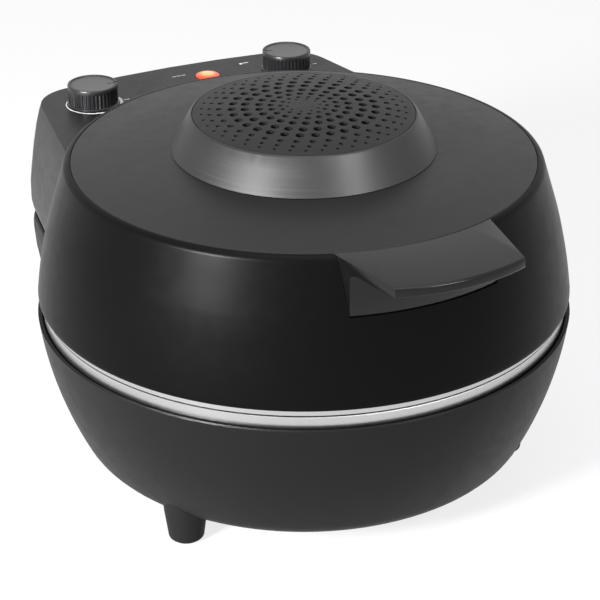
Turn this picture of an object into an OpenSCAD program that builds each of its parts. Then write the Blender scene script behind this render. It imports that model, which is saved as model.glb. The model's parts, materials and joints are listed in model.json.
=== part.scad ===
// Round countertop pizza maker: a bowl-shaped lower casing with a stone and a heater, and a
// domed lid with a second heater, a fan and a control housing, joined by a hinge at the back.
// The front, with the handle, faces -Y. The origin is on the table under the middle of the
// whole object. Every piece is drawn about the round body's axis and then moved by axis_y.

/* [Lower casing] */
// Height of the underside above the table
foot_h = 22; // [16:1:26]
// Height of the lower casing from its underside to its rim
base_h = 101.6; // [92:0.4:110]
// Radius of the lower casing at its rim
base_rim_r = 191.5; // [190.5:0.5:196]
// Radius of the bowed side in section
base_bow_r = 272; // [240:4:320]
// Height of the bow's centre above the rim
base_bow_rise = 28.4; // [20:0.4:40]
// Radius of the rounding between side and underside
base_fillet_r = 19.5; // [14:0.5:26]
// Wall thickness of the moulded casings
wall = 2.5; // [2:0.1:3]
// Radius of the opening in the underside
cover_open_r = 116; // [90:1:122]
// Width of the ledge that the underside cover is screwed to
cover_ledge = 10; // [8:0.5:14]
// Thickness of the lip at the rim
rim_lip_t = 1.3; // [1:0.1:1.8]
// Width from the rim's outer edge to the upstand behind the trough
trough_w = 4; // [3.4:0.1:5]
// Depth of the trough between the lip and the metal bands
trough_h = 7; // [4:0.5:10]

/* [Seam] */
// Outer radius of the two metal bands at the seam
band_r = 187.5; // [186:0.5:189]
// Radial thickness of the metal bands
band_t = 3; // [2:0.2:4]
// Height of the lower band
base_band_h = 8.4; // [6:0.2:12]
// Height of the upper band
lid_band_h = 5.1; // [3:0.1:8]
// Gap between the two bands with the lid shut
seam_gap = 0.8; // [0.4:0.1:2]
// Thickness of the sheet-metal liners and flanges
sheet_t = 1; // [0.8:0.1:1.4]
// Inner radius of the flange that carries the liners
rim_flange_r = 176; // [174:0.5:178]

/* [Lid] */
// Height of the lid's side from its lower edge to the crease
lid_h = 98.1; // [88:0.4:112]
// Radius of the lid at its lower edge
lid_foot_r = 190; // [189:0.5:191]
// Radius of the lid at the crease, before it is rounded
crease_r = 167; // [162:0.2:170]
// Radius of the rounding of the crease
crease_round = 5.5; // [3:0.5:8]
// Height above the lower edge where the bowed side turns into a straight cone
shoulder_h = 62.1; // [56:0.5:66]
// Radius of the lid at that height
shoulder_r = 178.3; // [177:0.1:180]
// Radius of the bowed side in section
lid_bow_r = 382.5; // [340:2.5:420]
// Rise of the top cover from the crease to the vent housing
top_rise = 6.1; // [2:0.1:8]
// Depth of the seat that the top cover drops into
cover_seat = 2.6; // [2:0.1:4]

/* [Vent] */
// Outer radius of the vent housing at its foot
vent_foot_r = 93.2; // [86:0.1:96]
// Outer radius of the vent housing at its top edge
vent_top_r = 79; // [78.5:0.1:84]
// Height of the vent housing
vent_h = 24.4; // [22:0.1:30]
// Rise of the grille's dome
grille_rise = 5; // [3:0.5:7]
// Thickness of the grille
grille_t = 2.5; // [2:0.1:3]
// Number of holes in the innermost ring
first_ring_holes = 10; // [8:1:10]
// Holes that each ring has more than the one inside it
ring_step = 4; // [3:1:4]

/* [Handle] */
// Reach of the handle's front edge from the body's axis
handle_reach = 221; // [210:1:230]
// Width of the handle at the crease
handle_root_w = 115; // [100:1:124]
// Width of the handle at its front corners
handle_front_w = 93; // [80:1:100]
// Radius of the handle's curved front edge in plan
handle_front_bow = 135; // [110:5:200]
// Thickness of the grip at its front edge
handle_t = 7; // [5:0.5:9]
// Radius of the upright face under the grip
skirt_r = 178.3; // [177.8:0.1:180]
// Height of the upright face from its lower edge to the crease
skirt_h = 38; // [34:0.5:44]

/* [Stone and heaters] */
// Diameter of the baking stone
stone_d = 300; // [280:2:306]
// Thickness of the baking stone
stone_t = 12; // [10:0.5:14]
// Diameter of the tubular heaters
heater_d = 6.5; // [6:0.5:8]
// Radius of the lower heater's ring
lower_heater_r = 100; // [80:2:116]
// Radius of the upper heater's ring
upper_heater_r = 104; // [98:2:116]
// Height of the lower heater above its liner's floor
lower_heater_lift = 15; // [10:1:22]
// Drop of the upper heater below its liner's ceiling
upper_heater_drop = 16; // [12:1:22]

/* [Fan] */
// Diameter of the motor
motor_d = 64; // [54:1:70]
// Height of the motor's body
motor_h = 25; // [20:1:27]
// Diameter of the motor's shaft
shaft_d = 6; // [5:0.5:7]
// Diameter of the fan that moves the hot air
hot_fan_d = 116; // [100:2:124]
// Diameter of the fan that cools the motor
cool_fan_d = 104; // [84:2:120]
// Number of blades on each fan
fan_blades = 8; // [5:1:10]

/* [Controls] */
// Distance from the middle plane to each knob
knob_x = 82.4; // [78:0.2:86]
// Distance from the body's axis back to the knobs
knob_y = 192.4; // [192:0.2:198]
// Diameter of a knob's ribbed grip
knob_d = 37.5; // [34:0.5:42]
// Height of a knob
knob_h = 16; // [12:0.5:20]
// Number of ribs round a knob
knob_ribs = 40; // [30:2:48]
// Diameter of the spindles
spindle_d = 6; // [5:0.5:6.5]
// Distance of the lamp from the middle plane
lamp_x = 20; // [10:1:30]
// Distance from the body's axis back to the lamp
lamp_y = 207; // [205:0.5:212]
// Diameter of the lamp's lens
lens_d = 18.5; // [15:0.5:20]

/* [Control housing] */
// Depth of the housing's top face below the crease
panel_drop = 16; // [14:0.5:24]
// Reach of the housing's top face behind the body's axis
panel_reach = 238.5; // [236:0.5:242]
// Radius of the slight bow of the rear edge
panel_bow_r = 660; // [500:20:900]
// Radius of the rear corners in plan
panel_corner_r = 35; // [28:1:40]
// Angle by which the sides open towards the front
panel_flare = 9.5; // [6:0.5:13]
// How far the sides swell beyond the top face
side_swell = 12.5; // [8:0.5:16]
// How far the rear swells beyond the top face
rear_swell = 8; // [4:0.5:10]
// Height of the swell's widest line above the split
swell_rise = 12.5; // [10:0.5:16]
// Gap between the lid's housing and the lower housing
split_gap = 2.5; // [0.6:0.1:3]

/* [Hinge] */
// Height of the hinge axis above the lower casing's rim
hinge_rise = 8.4; // [6:0.2:11]
// Radius of the hinge barrels
barrel_r = 7; // [6:0.25:8]
// Diameter of the hinge pins
hinge_pin_d = 6; // [5:0.5:7]
// Distance from the middle plane to the middle of each lid knuckle
knuckle_x = 65; // [50:1:66]
// Width of each lid knuckle
knuckle_w = 18; // [12:0.5:20]
// Width of the outer base knuckles
outer_knuckle_w = 12; // [8:0.5:12.5]

/* [Feet] */
// Distance of the feet from the body's axis
foot_circle_r = 150; // [138:1:156]
// Diameter of a foot at the casing
foot_top_d = 30; // [26:1:34]
// Diameter of a foot at the table
foot_low_d = 25; // [22:1:26]
// Height that the rubber pad stands out of the foot
pad_proud = 1; // [0.6:0.2:2]

/* [Fits] */
// Radial clearance of a shaft that turns in its bush
running_fit = 0.05; // [0.02:0.01:0.08]
// Radial clearance of a piece pushed on for good
push_fit = 0.02; // [0.01:0.01:0.04]
// Clearance round a piece that is dropped into a seat
seat_fit = 0.2; // [0.1:0.05:0.3]

/* [Hidden] */

round_fn = 144;
small_fn = 32;
slice_h = 0.02;

// Heights, from the table upwards
rim_z = foot_h + base_h;
band_seam_z = rim_z + base_band_h;
lid_foot_z = band_seam_z + seam_gap + lid_band_h;
crease_z = lid_foot_z + lid_h;
shoulder_z = lid_foot_z + shoulder_h;
cover_top_z = crease_z + top_rise;
vent_top_z = cover_top_z + vent_h;
panel_z = crease_z - panel_drop;
hinge_z = rim_z + hinge_rise;

// The outermost points at the back and the front set the middle of the object
rear_y = panel_reach + rear_swell;
hinge_y = rear_y - swell_rise;
axis_y = (handle_reach - rear_y) / 2;

// Liner heights
base_flange_z = rim_z + 2 * sheet_t;
lid_flange_z = lid_foot_z - 2 * sheet_t;
stone_seat_z = rim_z + 0.4 - stone_t;
liner_floor_lift = 51;
liner_floor_z = foot_h + liner_floor_lift;
lid_ceiling_drop = 30;
lid_ceiling_z = crease_z - lid_ceiling_drop;
ceiling_top_z = lid_ceiling_z + sheet_t;
stone_r = stone_d / 2;
stone_gap = 11;
stone_ledge = 6;
liner_rim_r = band_r - band_t - seat_fit;
rim_screw_r = (rim_flange_r + liner_rim_r) / 2;
rim_screw_count = 6;
rim_screw_first = 30;
// Where the bands and both rims end outside, whichever reaches furthest
seam_r = max(base_rim_r, lid_foot_r + 1.5, band_r + 1.5);

// Fan stack heights
guard_r = 70;
guard_drop = 33;
guard_flange = 8;
shaft_r = shaft_d / 2;
bracket_lift = 13;
bracket_t = 2;
bracket_z = ceiling_top_z + bracket_lift;
motor_z = bracket_z + bracket_t;
motor_nose_r = 10;
motor_screw_in = 5;
motor_screw_r = motor_d / 2 - motor_screw_in;
motor_top_z = motor_z + motor_h;
motor_boss_h = 4;
cool_fan_z = motor_top_z + motor_boss_h + 1;
cool_fan_h = 9;
hot_fan_h = 12;
hot_fan_z = lid_ceiling_z - hot_fan_h - 8;
fan_nut_h = 4;
bracket_foot_r = 48;

// Screws
screw_r = 1.5;
screw_head_r = 3;
screw_head_h = 2;
foot_screw_r = 2;
foot_screw_head_r = 3.8;
boss_r = 5;

// Where each row of vent holes lies and how wide its holes are, from the middle outwards
ring_radii = [11.5, 16, 23, 31.2, 41, 49.8, 58.8, 65.5, 71];
ring_hole_d = [2, 3.2, 4.6, 5.6, 6.2, 6, 4.4, 3.2, 2.4];
open_rings = [1, 2, 3, 4, 5];
dimple_h = 1;
grille_r = vent_top_r - 1.7;
grille_groove = 0.5;

// Paths in section, as [radius, height]
function arc(cx, cz, r, from, to, steps) =
    [for (i = [0:steps]) let (a = from + (to - from) * i / steps) [cx + r * cos(a), cz + r * sin(a)]];
function reversed(path) = [for (i = [len(path) - 1:-1:0]) path[i]];
function unit(v) = v / norm(v);
function left_of(a, b) = let (d = unit(b - a)) [-d[1], d[0]];
function beside(path, t) = [
    for (i = [0:len(path) - 1])
        let (
            before = i == 0 ? left_of(path[0], path[1]) : left_of(path[i - 1], path[i]),
            after = i == len(path) - 1 ? before : left_of(path[i], path[i + 1]),
            n = unit(before + after)
        )
        path[i] + t * n / (n * before)
];
function sheet(path, t) = concat(path, reversed(beside(path, t)));

// Side of the lower casing in section, moved inwards by inset
base_bow_z = rim_z + base_bow_rise;
base_bow_x = base_rim_r - sqrt(pow(base_bow_r, 2) - pow(base_bow_rise, 2));
fillet_z = foot_h + base_fillet_r;
fillet_x = base_bow_x + sqrt(pow(base_bow_r - base_fillet_r, 2) - pow(fillet_z - base_bow_z, 2));
fillet_a = atan2(fillet_z - base_bow_z, fillet_x - base_bow_x);
function base_side(inset) =
    let (top_a = asin((rim_z - base_bow_z) / (base_bow_r - inset)))
    concat(
        arc(fillet_x, fillet_z, base_fillet_r - inset, -90, fillet_a, 6),
        arc(base_bow_x, base_bow_z, base_bow_r - inset, fillet_a + (top_a - fillet_a) / 16, top_a, 15)
    );

function base_r_at(z) = base_bow_x + sqrt(pow(base_bow_r, 2) - pow(z - base_bow_z, 2));

// Side of the lid in section, moved inwards by inset
lid_bow_z = lid_foot_z - 44.5;
lid_bow_x = shoulder_r - sqrt(pow(lid_bow_r, 2) - pow(shoulder_z - lid_bow_z, 2));
lid_round_h = 3.5;
cone_lean = (shoulder_r - crease_r) / (crease_z - shoulder_z);
function lid_bow_at(z, inset) = lid_bow_x + sqrt(pow(lid_bow_r - inset, 2) - pow(z - lid_bow_z, 2));
function lid_cone_at(z, inset) =
    crease_r + (crease_z - z) * cone_lean - inset * sqrt(1 + pow(cone_lean, 2));
function lid_r_at(z, inset) = z > shoulder_z ? lid_cone_at(z, inset) : lid_bow_at(z, inset);
function lid_side(inset, from_z, to_z, steps) = [
    for (i = [0:steps])
        let (z = from_z + (to_z - from_z) * i / steps)
        [lid_r_at(z, inset), z]
];
cone_angle = atan(cone_lean);
lip_r = crease_r - crease_round * tan((90 - cone_angle) / 2);
lid_outside = concat(
    [[lid_foot_r, lid_foot_z], [lid_foot_r + 0.5, lid_foot_z + 1]],
    lid_side(0, lid_foot_z + lid_round_h, shoulder_z, 12),
    arc(lip_r, crease_z - crease_round, crease_round, cone_angle, 90, 6)
);

// The solid form of each round body, for cutting what lies against it
module base_form(grow) {
    rotate_extrude($fn = round_fn)
        polygon(concat(
            [[0, foot_h - grow]], base_side(-grow),
            [[seam_r + grow, rim_z + 0.1], [seam_r + grow, rim_z + 20], [0, rim_z + 20]]
        ));
}
module lid_form(grow) {
    rotate_extrude($fn = round_fn)
        polygon(concat(
            [[0, lid_foot_z - 40], [seam_r + grow, lid_foot_z - 40], [seam_r + grow, lid_foot_z]],
            lid_side(-grow, lid_foot_z + lid_round_h, shoulder_z, 12),
            [[lid_cone_at(crease_z + 10, -grow), crease_z + 10], [0, crease_z + 10]]
        ));
}

// Everything is drawn about the round body's axis
module about_axis() {
    translate([0, axis_y, 0]) children();
}
module turned(path) {
    rotate_extrude($fn = round_fn) polygon(path);
}
module around(count, first, r) {
    for (i = [0:count - 1])
        rotate([0, 0, first + i * 360 / count]) translate([0, -r, 0]) children();
}
module pillar(r, from_z, to_z) {
    translate([0, 0, from_z]) cylinder(r = r, h = to_z - from_z, $fn = small_fn);
}

// A pan-head screw with its head's seat at seat_z and its shank pointing up or down
module pan_screw(seat_z, length, up) {
    way = up ? 1 : -1;
    translate([0, 0, seat_z]) mirror([0, 0, up ? 0 : 1]) {
        difference() {
            translate([0, 0, -screw_head_h]) cylinder(r = screw_head_r, h = screw_head_h, $fn = small_fn);
            translate([-0.4, -screw_head_r - 1, -screw_head_h - 1]) cube([0.8, 2 * screw_head_r + 2, 1.8]);
        }
        cylinder(r = screw_r, h = length, $fn = small_fn);
    }
}
module rim_screw_holes(from_z, to_z) {
    around(rim_screw_count, rim_screw_first, rim_screw_r) pillar(screw_r + push_fit, from_z, to_z);
}

// Lower casing
module base_shell() {
    outer = base_side(0);
    inner = base_side(wall);
    ledge_r = cover_open_r + cover_ledge;
    trough_z = rim_z - trough_h;
    upstand_r = base_rim_r - trough_w;
    color("#2f2f31") about_axis() difference() {
        union() {
            turned(concat(
                [[ledge_r, foot_h]], outer,
                [[base_rim_r - rim_lip_t, rim_z], [base_r_at(trough_z) - rim_lip_t, trough_z]],
                [[upstand_r, trough_z], [upstand_r, rim_z]],
                [[rim_flange_r, rim_z], [rim_flange_r, rim_z - wall]],
                [[upstand_r - wall, rim_z - wall], [upstand_r - wall, trough_z - wall]],
                [for (p = reversed(inner)) if (p[1] < trough_z - wall) p],
                [[ledge_r + wall, foot_h + wall], [ledge_r + wall, foot_h + 2 * wall]],
                [[cover_open_r, foot_h + 2 * wall], [cover_open_r, foot_h + wall]],
                [[ledge_r, foot_h + wall]]
            ));
            intersection() {
                around(3, -60, foot_circle_r) pillar(boss_r, foot_h + 1, foot_h + 16);
                base_form(-wall / 2);
            }
        }
        around(3, -60, foot_circle_r) pillar(foot_screw_r + push_fit, foot_h - 1, foot_h + 13);
        around(4, 45, cover_open_r + cover_ledge / 2) pillar(screw_r + push_fit, foot_h, foot_h + 3 * wall);
        rim_screw_holes(rim_z - wall - 1, rim_z + 1);
    }
}

module bottom_cover() {
    slot_w = 4;
    color("#27272a") about_axis() difference() {
        translate([0, 0, foot_h + 0.2])
            cylinder(r = cover_open_r + cover_ledge - seat_fit, h = wall - 0.2, $fn = round_fn);
        around(4, 45, cover_open_r + cover_ledge / 2) pillar(screw_r + push_fit, foot_h, foot_h + wall + 1);
        for (side = [-1, 1], i = [0:6])
            translate([side * 62 - 24, -36 + i * 12 - slot_w / 2, foot_h - 1]) {
                translate([slot_w / 2, 0, 0]) cube([48 - slot_w, slot_w, wall + 2]);
                translate([slot_w / 2, slot_w / 2, 0]) cylinder(d = slot_w, h = wall + 2, $fn = small_fn);
                translate([48 - slot_w / 2, slot_w / 2, 0]) cylinder(d = slot_w, h = wall + 2, $fn = small_fn);
            }
    }
}

module bottom_cover_screws() {
    color("#8c8c90") about_axis()
        around(4, 45, cover_open_r + cover_ledge / 2) pan_screw(foot_h + 0.2, 2 * wall + 1, true);
}

module base_trim_ring() {
    color("#c9c9cb") about_axis() difference() {
        turned([
            [rim_flange_r + 1.5, rim_z], [band_r, rim_z], [band_r, band_seam_z - 0.5],
            [band_r - 0.5, band_seam_z], [band_r - band_t, band_seam_z],
            [band_r - band_t, rim_z + sheet_t], [rim_flange_r + 1.5, rim_z + sheet_t]
        ]);
        rim_screw_holes(rim_z - 1, rim_z + sheet_t + 1);
    }
}

// Pan under and round the stone, pressed from sheet
liner_mouth_r = rim_flange_r - 2;
stone_ledge_in = stone_r - stone_ledge;
base_pan = [
    [liner_rim_r, base_flange_z], [liner_mouth_r, base_flange_z],
    [stone_r + stone_gap, stone_seat_z], [stone_ledge_in, stone_seat_z],
    [stone_ledge_in - 3, liner_floor_z + 4], [stone_ledge_in - 7, liner_floor_z], [0, liner_floor_z]
];
module base_liner() {
    color("#8f9092") about_axis() difference() {
        turned(sheet(base_pan, sheet_t));
        rim_screw_holes(base_flange_z - sheet_t - 1, base_flange_z + 1);
        heater_leg_places(lower_heater_r) pillar(heater_d / 2 + 0.4, liner_floor_z - 4, liner_floor_z + 2);
    }
}

module base_rim_screws() {
    color("#a9a9ad") about_axis()
        around(rim_screw_count, rim_screw_first, rim_screw_r) pan_screw(base_flange_z, 2 * sheet_t + wall + 5, false);
}

module pizza_stone() {
    bevel = 1.5;
    color("#d8c7a6") about_axis() turned([
        [0, stone_seat_z], [stone_r - bevel, stone_seat_z], [stone_r, stone_seat_z + bevel],
        [stone_r, stone_seat_z + stone_t - bevel], [stone_r - bevel, stone_seat_z + stone_t],
        [0, stone_seat_z + stone_t]
    ]);
}

// Tubular heaters: a ring with a gap at the back and a thinner leg near each end
leg_half_angle = 7;
heater_end_angle = 5;
leg_r = heater_d / 2 - 0.5;
module heater_leg_places(r) {
    for (side = [-1, 1]) rotate([0, 0, side * leg_half_angle]) translate([0, r, 0]) children();
}
module heater(r, z, leg_end_z) {
    tube_r = heater_d / 2;
    translate([0, 0, z]) rotate([0, 0, 90 + heater_end_angle])
        rotate_extrude(angle = 360 - 2 * heater_end_angle, $fn = round_fn)
            translate([r, 0]) circle(r = tube_r, $fn = small_fn);
    heater_leg_places(r) pillar(leg_r, min(z, leg_end_z), max(z, leg_end_z));
}
lower_heater_z = liner_floor_z + lower_heater_lift;
upper_heater_z = lid_ceiling_z - upper_heater_drop;
module lower_heater() {
    color("#4a4643") about_axis() heater(lower_heater_r, lower_heater_z, liner_floor_z - 14);
}
module upper_heater() {
    color("#4a4643") about_axis() heater(upper_heater_r, upper_heater_z, ceiling_top_z + 12);
}

// A clip stands on the liner and holds the heater in a round notch
module heater_clips(r, seat_z, z) {
    clip_w = 12;
    clip_l = 5;
    low = min(seat_z, z);
    high = max(seat_z, z);
    for (i = [0:2])
        rotate([0, 0, 30 + 120 * i]) translate([r, 0, 0]) difference() {
            translate([-clip_w / 2, -clip_l / 2, low]) cube([clip_w, clip_l, high - low]);
            translate([0, clip_l, z]) rotate([90, 0, 0])
                cylinder(r = heater_d / 2 + 0.15, h = 2 * clip_l, $fn = small_fn);
        }
}
module lower_heater_clips() {
    color("#b5b5b8") about_axis() heater_clips(lower_heater_r, liner_floor_z, lower_heater_z);
}
module upper_heater_clips() {
    color("#b5b5b8") about_axis() heater_clips(upper_heater_r, lid_ceiling_z, upper_heater_z);
}

module terminal_block() {
    block = [46, 20, 16];
    color("#d9d6cc") about_axis() translate([-block[0] / 2, 60, foot_h + wall]) difference() {
        cube(block);
        for (i = [0:2])
            translate([block[0] * (2 * i + 1) / 6, block[1] / 2, block[2] - 9])
                cylinder(r = 3, h = 10, $fn = small_fn);
    }
}

// Plan of the housing behind the body. a is the direction that the edge faces.
corner_a = 90 - asin(knob_x / panel_bow_r);
corner_x = knob_x + 3.4;
corner_y = panel_reach - 40.9;
side_x = corner_x + panel_corner_r * cos(panel_flare);
side_y = corner_y + panel_corner_r * sin(panel_flare);
side_front_y = 60;
function swollen(p, a, gx, gy) = p + [gx * cos(a), gy * sin(a)];
function half_plan(gx, gy) = concat(
    [for (i = [0:2]) let (a = 90 + (corner_a - 90) * i / 2)
        swollen([panel_bow_r * cos(a), panel_reach - panel_bow_r * (1 - sin(a))], a, gx, gy)],
    [for (i = [0:7]) let (a = corner_a + (panel_flare - corner_a) * i / 7)
        swollen([corner_x + panel_corner_r * cos(a), corner_y + panel_corner_r * sin(a)], a, gx, gy)],
    [swollen([side_x + (side_y - side_front_y) * tan(panel_flare), side_front_y], panel_flare, gx, gy)]
);
function housing_plan(gx, gy) =
    let (right = half_plan(gx, gy))
    concat(right, [for (p = reversed(right)) if (p[0] > 0.01) [-p[0], p[1]]]);
module plan_slice(z, gx, gy) {
    translate([0, 0, z]) linear_extrude(height = slice_h) polygon(housing_plan(gx, gy));
}

// Forms of the two housings, thinner by inset on every side. Behind the hinge axis both are
// cut away at half a right angle, so that they meet when the lid is open.
swell_z = hinge_z + swell_rise;
rim_turn_in = 3;
module behind_hinge(way, inset) {
    reach = 60;
    lift = inset * sqrt(2);
    translate([-2 * panel_reach, hinge_y, hinge_z]) rotate([90, 0, 90]) linear_extrude(height = 4 * panel_reach)
        polygon([
            [-reach, way * (lift - reach)], [reach, way * (lift + reach)],
            [reach, -way * 2 * reach], [-reach, -way * 2 * reach]
        ]);
}
module upper_form(inset) {
    top_z = panel_z - inset - slice_h;
    low_z = hinge_z + split_gap / 2;
    difference() {
        hull() {
            plan_slice(top_z, -inset, -inset);
            plan_slice(top_z - 5, side_swell * 0.15 - inset, rear_swell * 0.15 - inset);
            plan_slice(top_z - 15, side_swell * 0.36 - inset, rear_swell * 0.4 - inset);
            plan_slice(top_z - 30, side_swell * 0.6 - inset, rear_swell * 0.65 - inset);
            plan_slice(top_z - 50, side_swell * 0.85 - inset, rear_swell * 0.88 - inset);
            plan_slice(swell_z + 14, side_swell * 0.97 - inset, rear_swell - inset);
            plan_slice(swell_z, side_swell - inset, rear_swell - inset);
            plan_slice(hinge_z + 6, side_swell - 0.4 * rim_turn_in - inset, rear_swell - 0.4 * rim_turn_in - inset);
            plan_slice(low_z, side_swell - rim_turn_in - inset, rear_swell - rim_turn_in - inset);
        }
        behind_hinge(1, inset);
    }
}
module lower_form(inset) {
    top_z = hinge_z - split_gap / 2 - slice_h;
    difference() {
        hull() {
            plan_slice(top_z - (inset > 0 ? wall : 0), side_swell - 0.8 * rim_turn_in - inset, rear_swell - 0.8 * rim_turn_in - inset);
            plan_slice(top_z - 1.5 - inset, side_swell - 0.4 * rim_turn_in - inset, rear_swell - 0.4 * rim_turn_in - inset);
            plan_slice(hinge_z - 7, side_swell - 0.6 - inset, rear_swell - 0.5 - inset);
            plan_slice(hinge_z - swell_rise, side_swell - 0.5 - inset, rear_swell - inset);
            plan_slice(hinge_z - 26, side_swell - 1.5 - inset, rear_swell - 0.5 - inset);
            plan_slice(hinge_z - 42, side_swell - 4 - inset, rear_swell - 4 - inset);
            plan_slice(hinge_z - 56, side_swell - 10 - inset, rear_swell - 14 - inset);
            plan_slice(hinge_z - 66 + inset, side_swell - 20 - inset, rear_swell - 30 - inset);
        }
        behind_hinge(-1, inset);
    }
}

// Hinge: a long barrel and two short ones on the base, two knuckles on the lid, two pins
pin_r = hinge_pin_d / 2;
knuckle_gap = 0.5;
long_barrel_x = knuckle_x - knuckle_w / 2 - knuckle_gap;
outer_barrel_x = knuckle_x + knuckle_w / 2 + knuckle_gap;
barrel_end_x = outer_barrel_x + outer_knuckle_w;
relief_r = barrel_r + 0.8;
module across(from_x, to_x, r) {
    translate([from_x, hinge_y, hinge_z]) rotate([0, 90, 0]) cylinder(r = r, h = to_x - from_x, $fn = 48);
}
module rear_bracket() {
    color("#2c2c2e") about_axis() difference() {
        union() {
            difference() {
                lower_form(0);
                lower_form(wall);
                across(-barrel_end_x - 0.5, barrel_end_x + 0.5, relief_r);
                across(-barrel_end_x - 60, barrel_end_x + 60, 2);
            }
            across(-long_barrel_x, long_barrel_x, barrel_r);
            for (side = [-1, 1]) scale([side, 1, 1]) across(outer_barrel_x, barrel_end_x, barrel_r);
            for (x = [-long_barrel_x, long_barrel_x - 30, outer_barrel_x, -barrel_end_x])
                translate([x, hinge_y - 16, hinge_z - barrel_r])
                    cube([x == outer_barrel_x || x == -barrel_end_x ? outer_knuckle_w : 30, 15, barrel_r - split_gap / 2]);
            gland_boss();
        }
        base_form(seat_fit / 2);
        for (side = [-1, 1])
            scale([side, 1, 1]) across(knuckle_x - knuckle_w / 2 - 22, barrel_end_x - 2, pin_r + push_fit);
        gland_hole();
    }
}

// Where the mains lead goes in, low on the back
gland_x = -70;
gland_bore_r = 3.6;
gland_flange_r = 9;
gland_neck_r = 6.5;
gland_seat_y = rear_y - 3.2;
gland_z = hinge_z - 30;
module gland_boss() {
    translate([gland_x, gland_seat_y, gland_z]) rotate([90, 0, 0]) cylinder(r = gland_flange_r + 3, h = 5, $fn = 48);
}
module gland_hole() {
    translate([gland_x, rear_y + 5, gland_z]) rotate([90, 0, 0]) {
        cylinder(r = gland_flange_r + seat_fit, h = rear_y + 5 - gland_seat_y, $fn = 48);
        cylinder(r = gland_neck_r + push_fit, h = 30, $fn = 48);
    }
}
module cord_gland() {
    color("#1c1c1e") about_axis() translate([gland_x, gland_seat_y, gland_z]) rotate([90, 0, 0]) difference() {
        union() {
            translate([0, 0, -2.4]) cylinder(r = gland_flange_r, h = 2.4, $fn = 48);
            cylinder(r = gland_neck_r, h = 9, $fn = 48);
        }
        translate([0, 0, -5]) cylinder(r = gland_bore_r, h = 20, $fn = 48);
    }
}

module hinge_pin(side) {
    color("#b9b9bc") about_axis() scale([side, 1, 1])
        across(knuckle_x - knuckle_w / 2 - 20, barrel_end_x - 2.5, pin_r);
}
module hinge_pin_left() { hinge_pin(-1); }
module hinge_pin_right() { hinge_pin(1); }

// Feet
foot_low_r = foot_low_d / 2;
foot_top_r = foot_top_d / 2;
pad_r = foot_low_r - 2.5;
pad_sunk = 2;
foot_round = 2;
foot_root_h = 16;
module foot(angle) {
    color("#222224") about_axis() rotate([0, 0, angle]) translate([0, -foot_circle_r, 0]) difference() {
        rotate_extrude($fn = 48) polygon(concat(
            [[0, pad_proud]],
            arc(foot_low_r - foot_round, pad_proud + foot_round, foot_round, -90, -5, 4),
            [[foot_top_r, foot_h], [foot_top_r + 1.5, foot_h + foot_root_h], [0, foot_h + foot_root_h]]
        ));
        translate([0, foot_circle_r, 0]) base_form(0);
        pillar(pad_r + seat_fit / 2, 0, pad_proud + pad_sunk);
        pillar(foot_screw_head_r + seat_fit, 0, pad_proud + pad_sunk + 6);
        pillar(foot_screw_r + seat_fit, 0, foot_h + foot_root_h + 1);
    }
}
module foot_left() { foot(-60); }
module foot_right() { foot(60); }
module foot_rear() { foot(180); }
module foot_pads() {
    color("#161617") about_axis() around(3, -60, foot_circle_r) pillar(pad_r, 0, pad_proud + pad_sunk - 0.05);
}
module foot_screws() {
    seat = pad_proud + pad_sunk + 6;
    color("#8c8c90") about_axis() around(3, -60, foot_circle_r) {
        pillar(foot_screw_head_r, seat - 3, seat);
        pillar(foot_screw_r, seat, foot_h + 12);
    }
}

// Lid
cover_gap = 0.3;
cover_r = lip_r - cover_gap;
cover_flange_r = lip_r - 11;
cover_seat_z = crease_z - cover_seat;
cover_screw_r = cover_r - 6;
module lid_shell() {
    inner_top_z = cover_seat_z - wall;
    inner_low_z = lid_foot_z + wall;
    color("#2a2a2c") about_axis() difference() {
        turned(concat(
            lid_outside,
            [[lip_r, cover_seat_z], [cover_flange_r, cover_seat_z]],
            [[cover_flange_r, inner_top_z]],
            reversed(lid_side(wall, inner_low_z, inner_top_z, 16)),
            [[rim_flange_r, inner_low_z], [rim_flange_r, lid_foot_z]]
        ));
        handle_notch();
        rim_screw_holes(lid_foot_z - 1, lid_foot_z + wall + 1);
        around(6, 30, cover_screw_r) pillar(screw_r + push_fit, cover_seat_z - 6, cover_seat_z + 1);
        handle_screw_places() pillar(screw_r + push_fit, cover_seat_z - 6, cover_seat_z + 1);
        housing_screw_places() translate([0, 0, -12]) cylinder(r = screw_r + push_fit, h = 20, $fn = small_fn);
    }
}

module top_cover() {
    plateau_r = vent_foot_r + 1;
    hole_r = vent_foot_r - 8;
    under = cover_top_z - cover_seat;
    color("#303032") about_axis() difference() {
        turned([
            [cover_r, cover_seat_z], [cover_r, crease_z - 0.4], [cover_r - 0.4, crease_z],
            [(cover_r + plateau_r) / 2, crease_z + top_rise * 0.62], [plateau_r, cover_top_z],
            [hole_r, cover_top_z], [hole_r, under], [plateau_r, under],
            [cover_flange_r - 1, cover_seat_z]
        ]);
        around(6, 30, cover_screw_r) pillar(screw_r + push_fit, cover_seat_z - 1, cover_seat_z + 1.6);
        around(3, 0, vent_screw_r) pillar(screw_r + push_fit, under - 1, cover_top_z + 1);
    }
}
module top_cover_screws() {
    color("#8c8c90") about_axis() {
        around(6, 30, cover_screw_r) pan_screw(cover_seat_z - wall, wall + 1.5, true);
        around(3, 0, vent_screw_r) pan_screw(cover_top_z - cover_seat, cover_seat + 2.5, true);
    }
}

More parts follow.
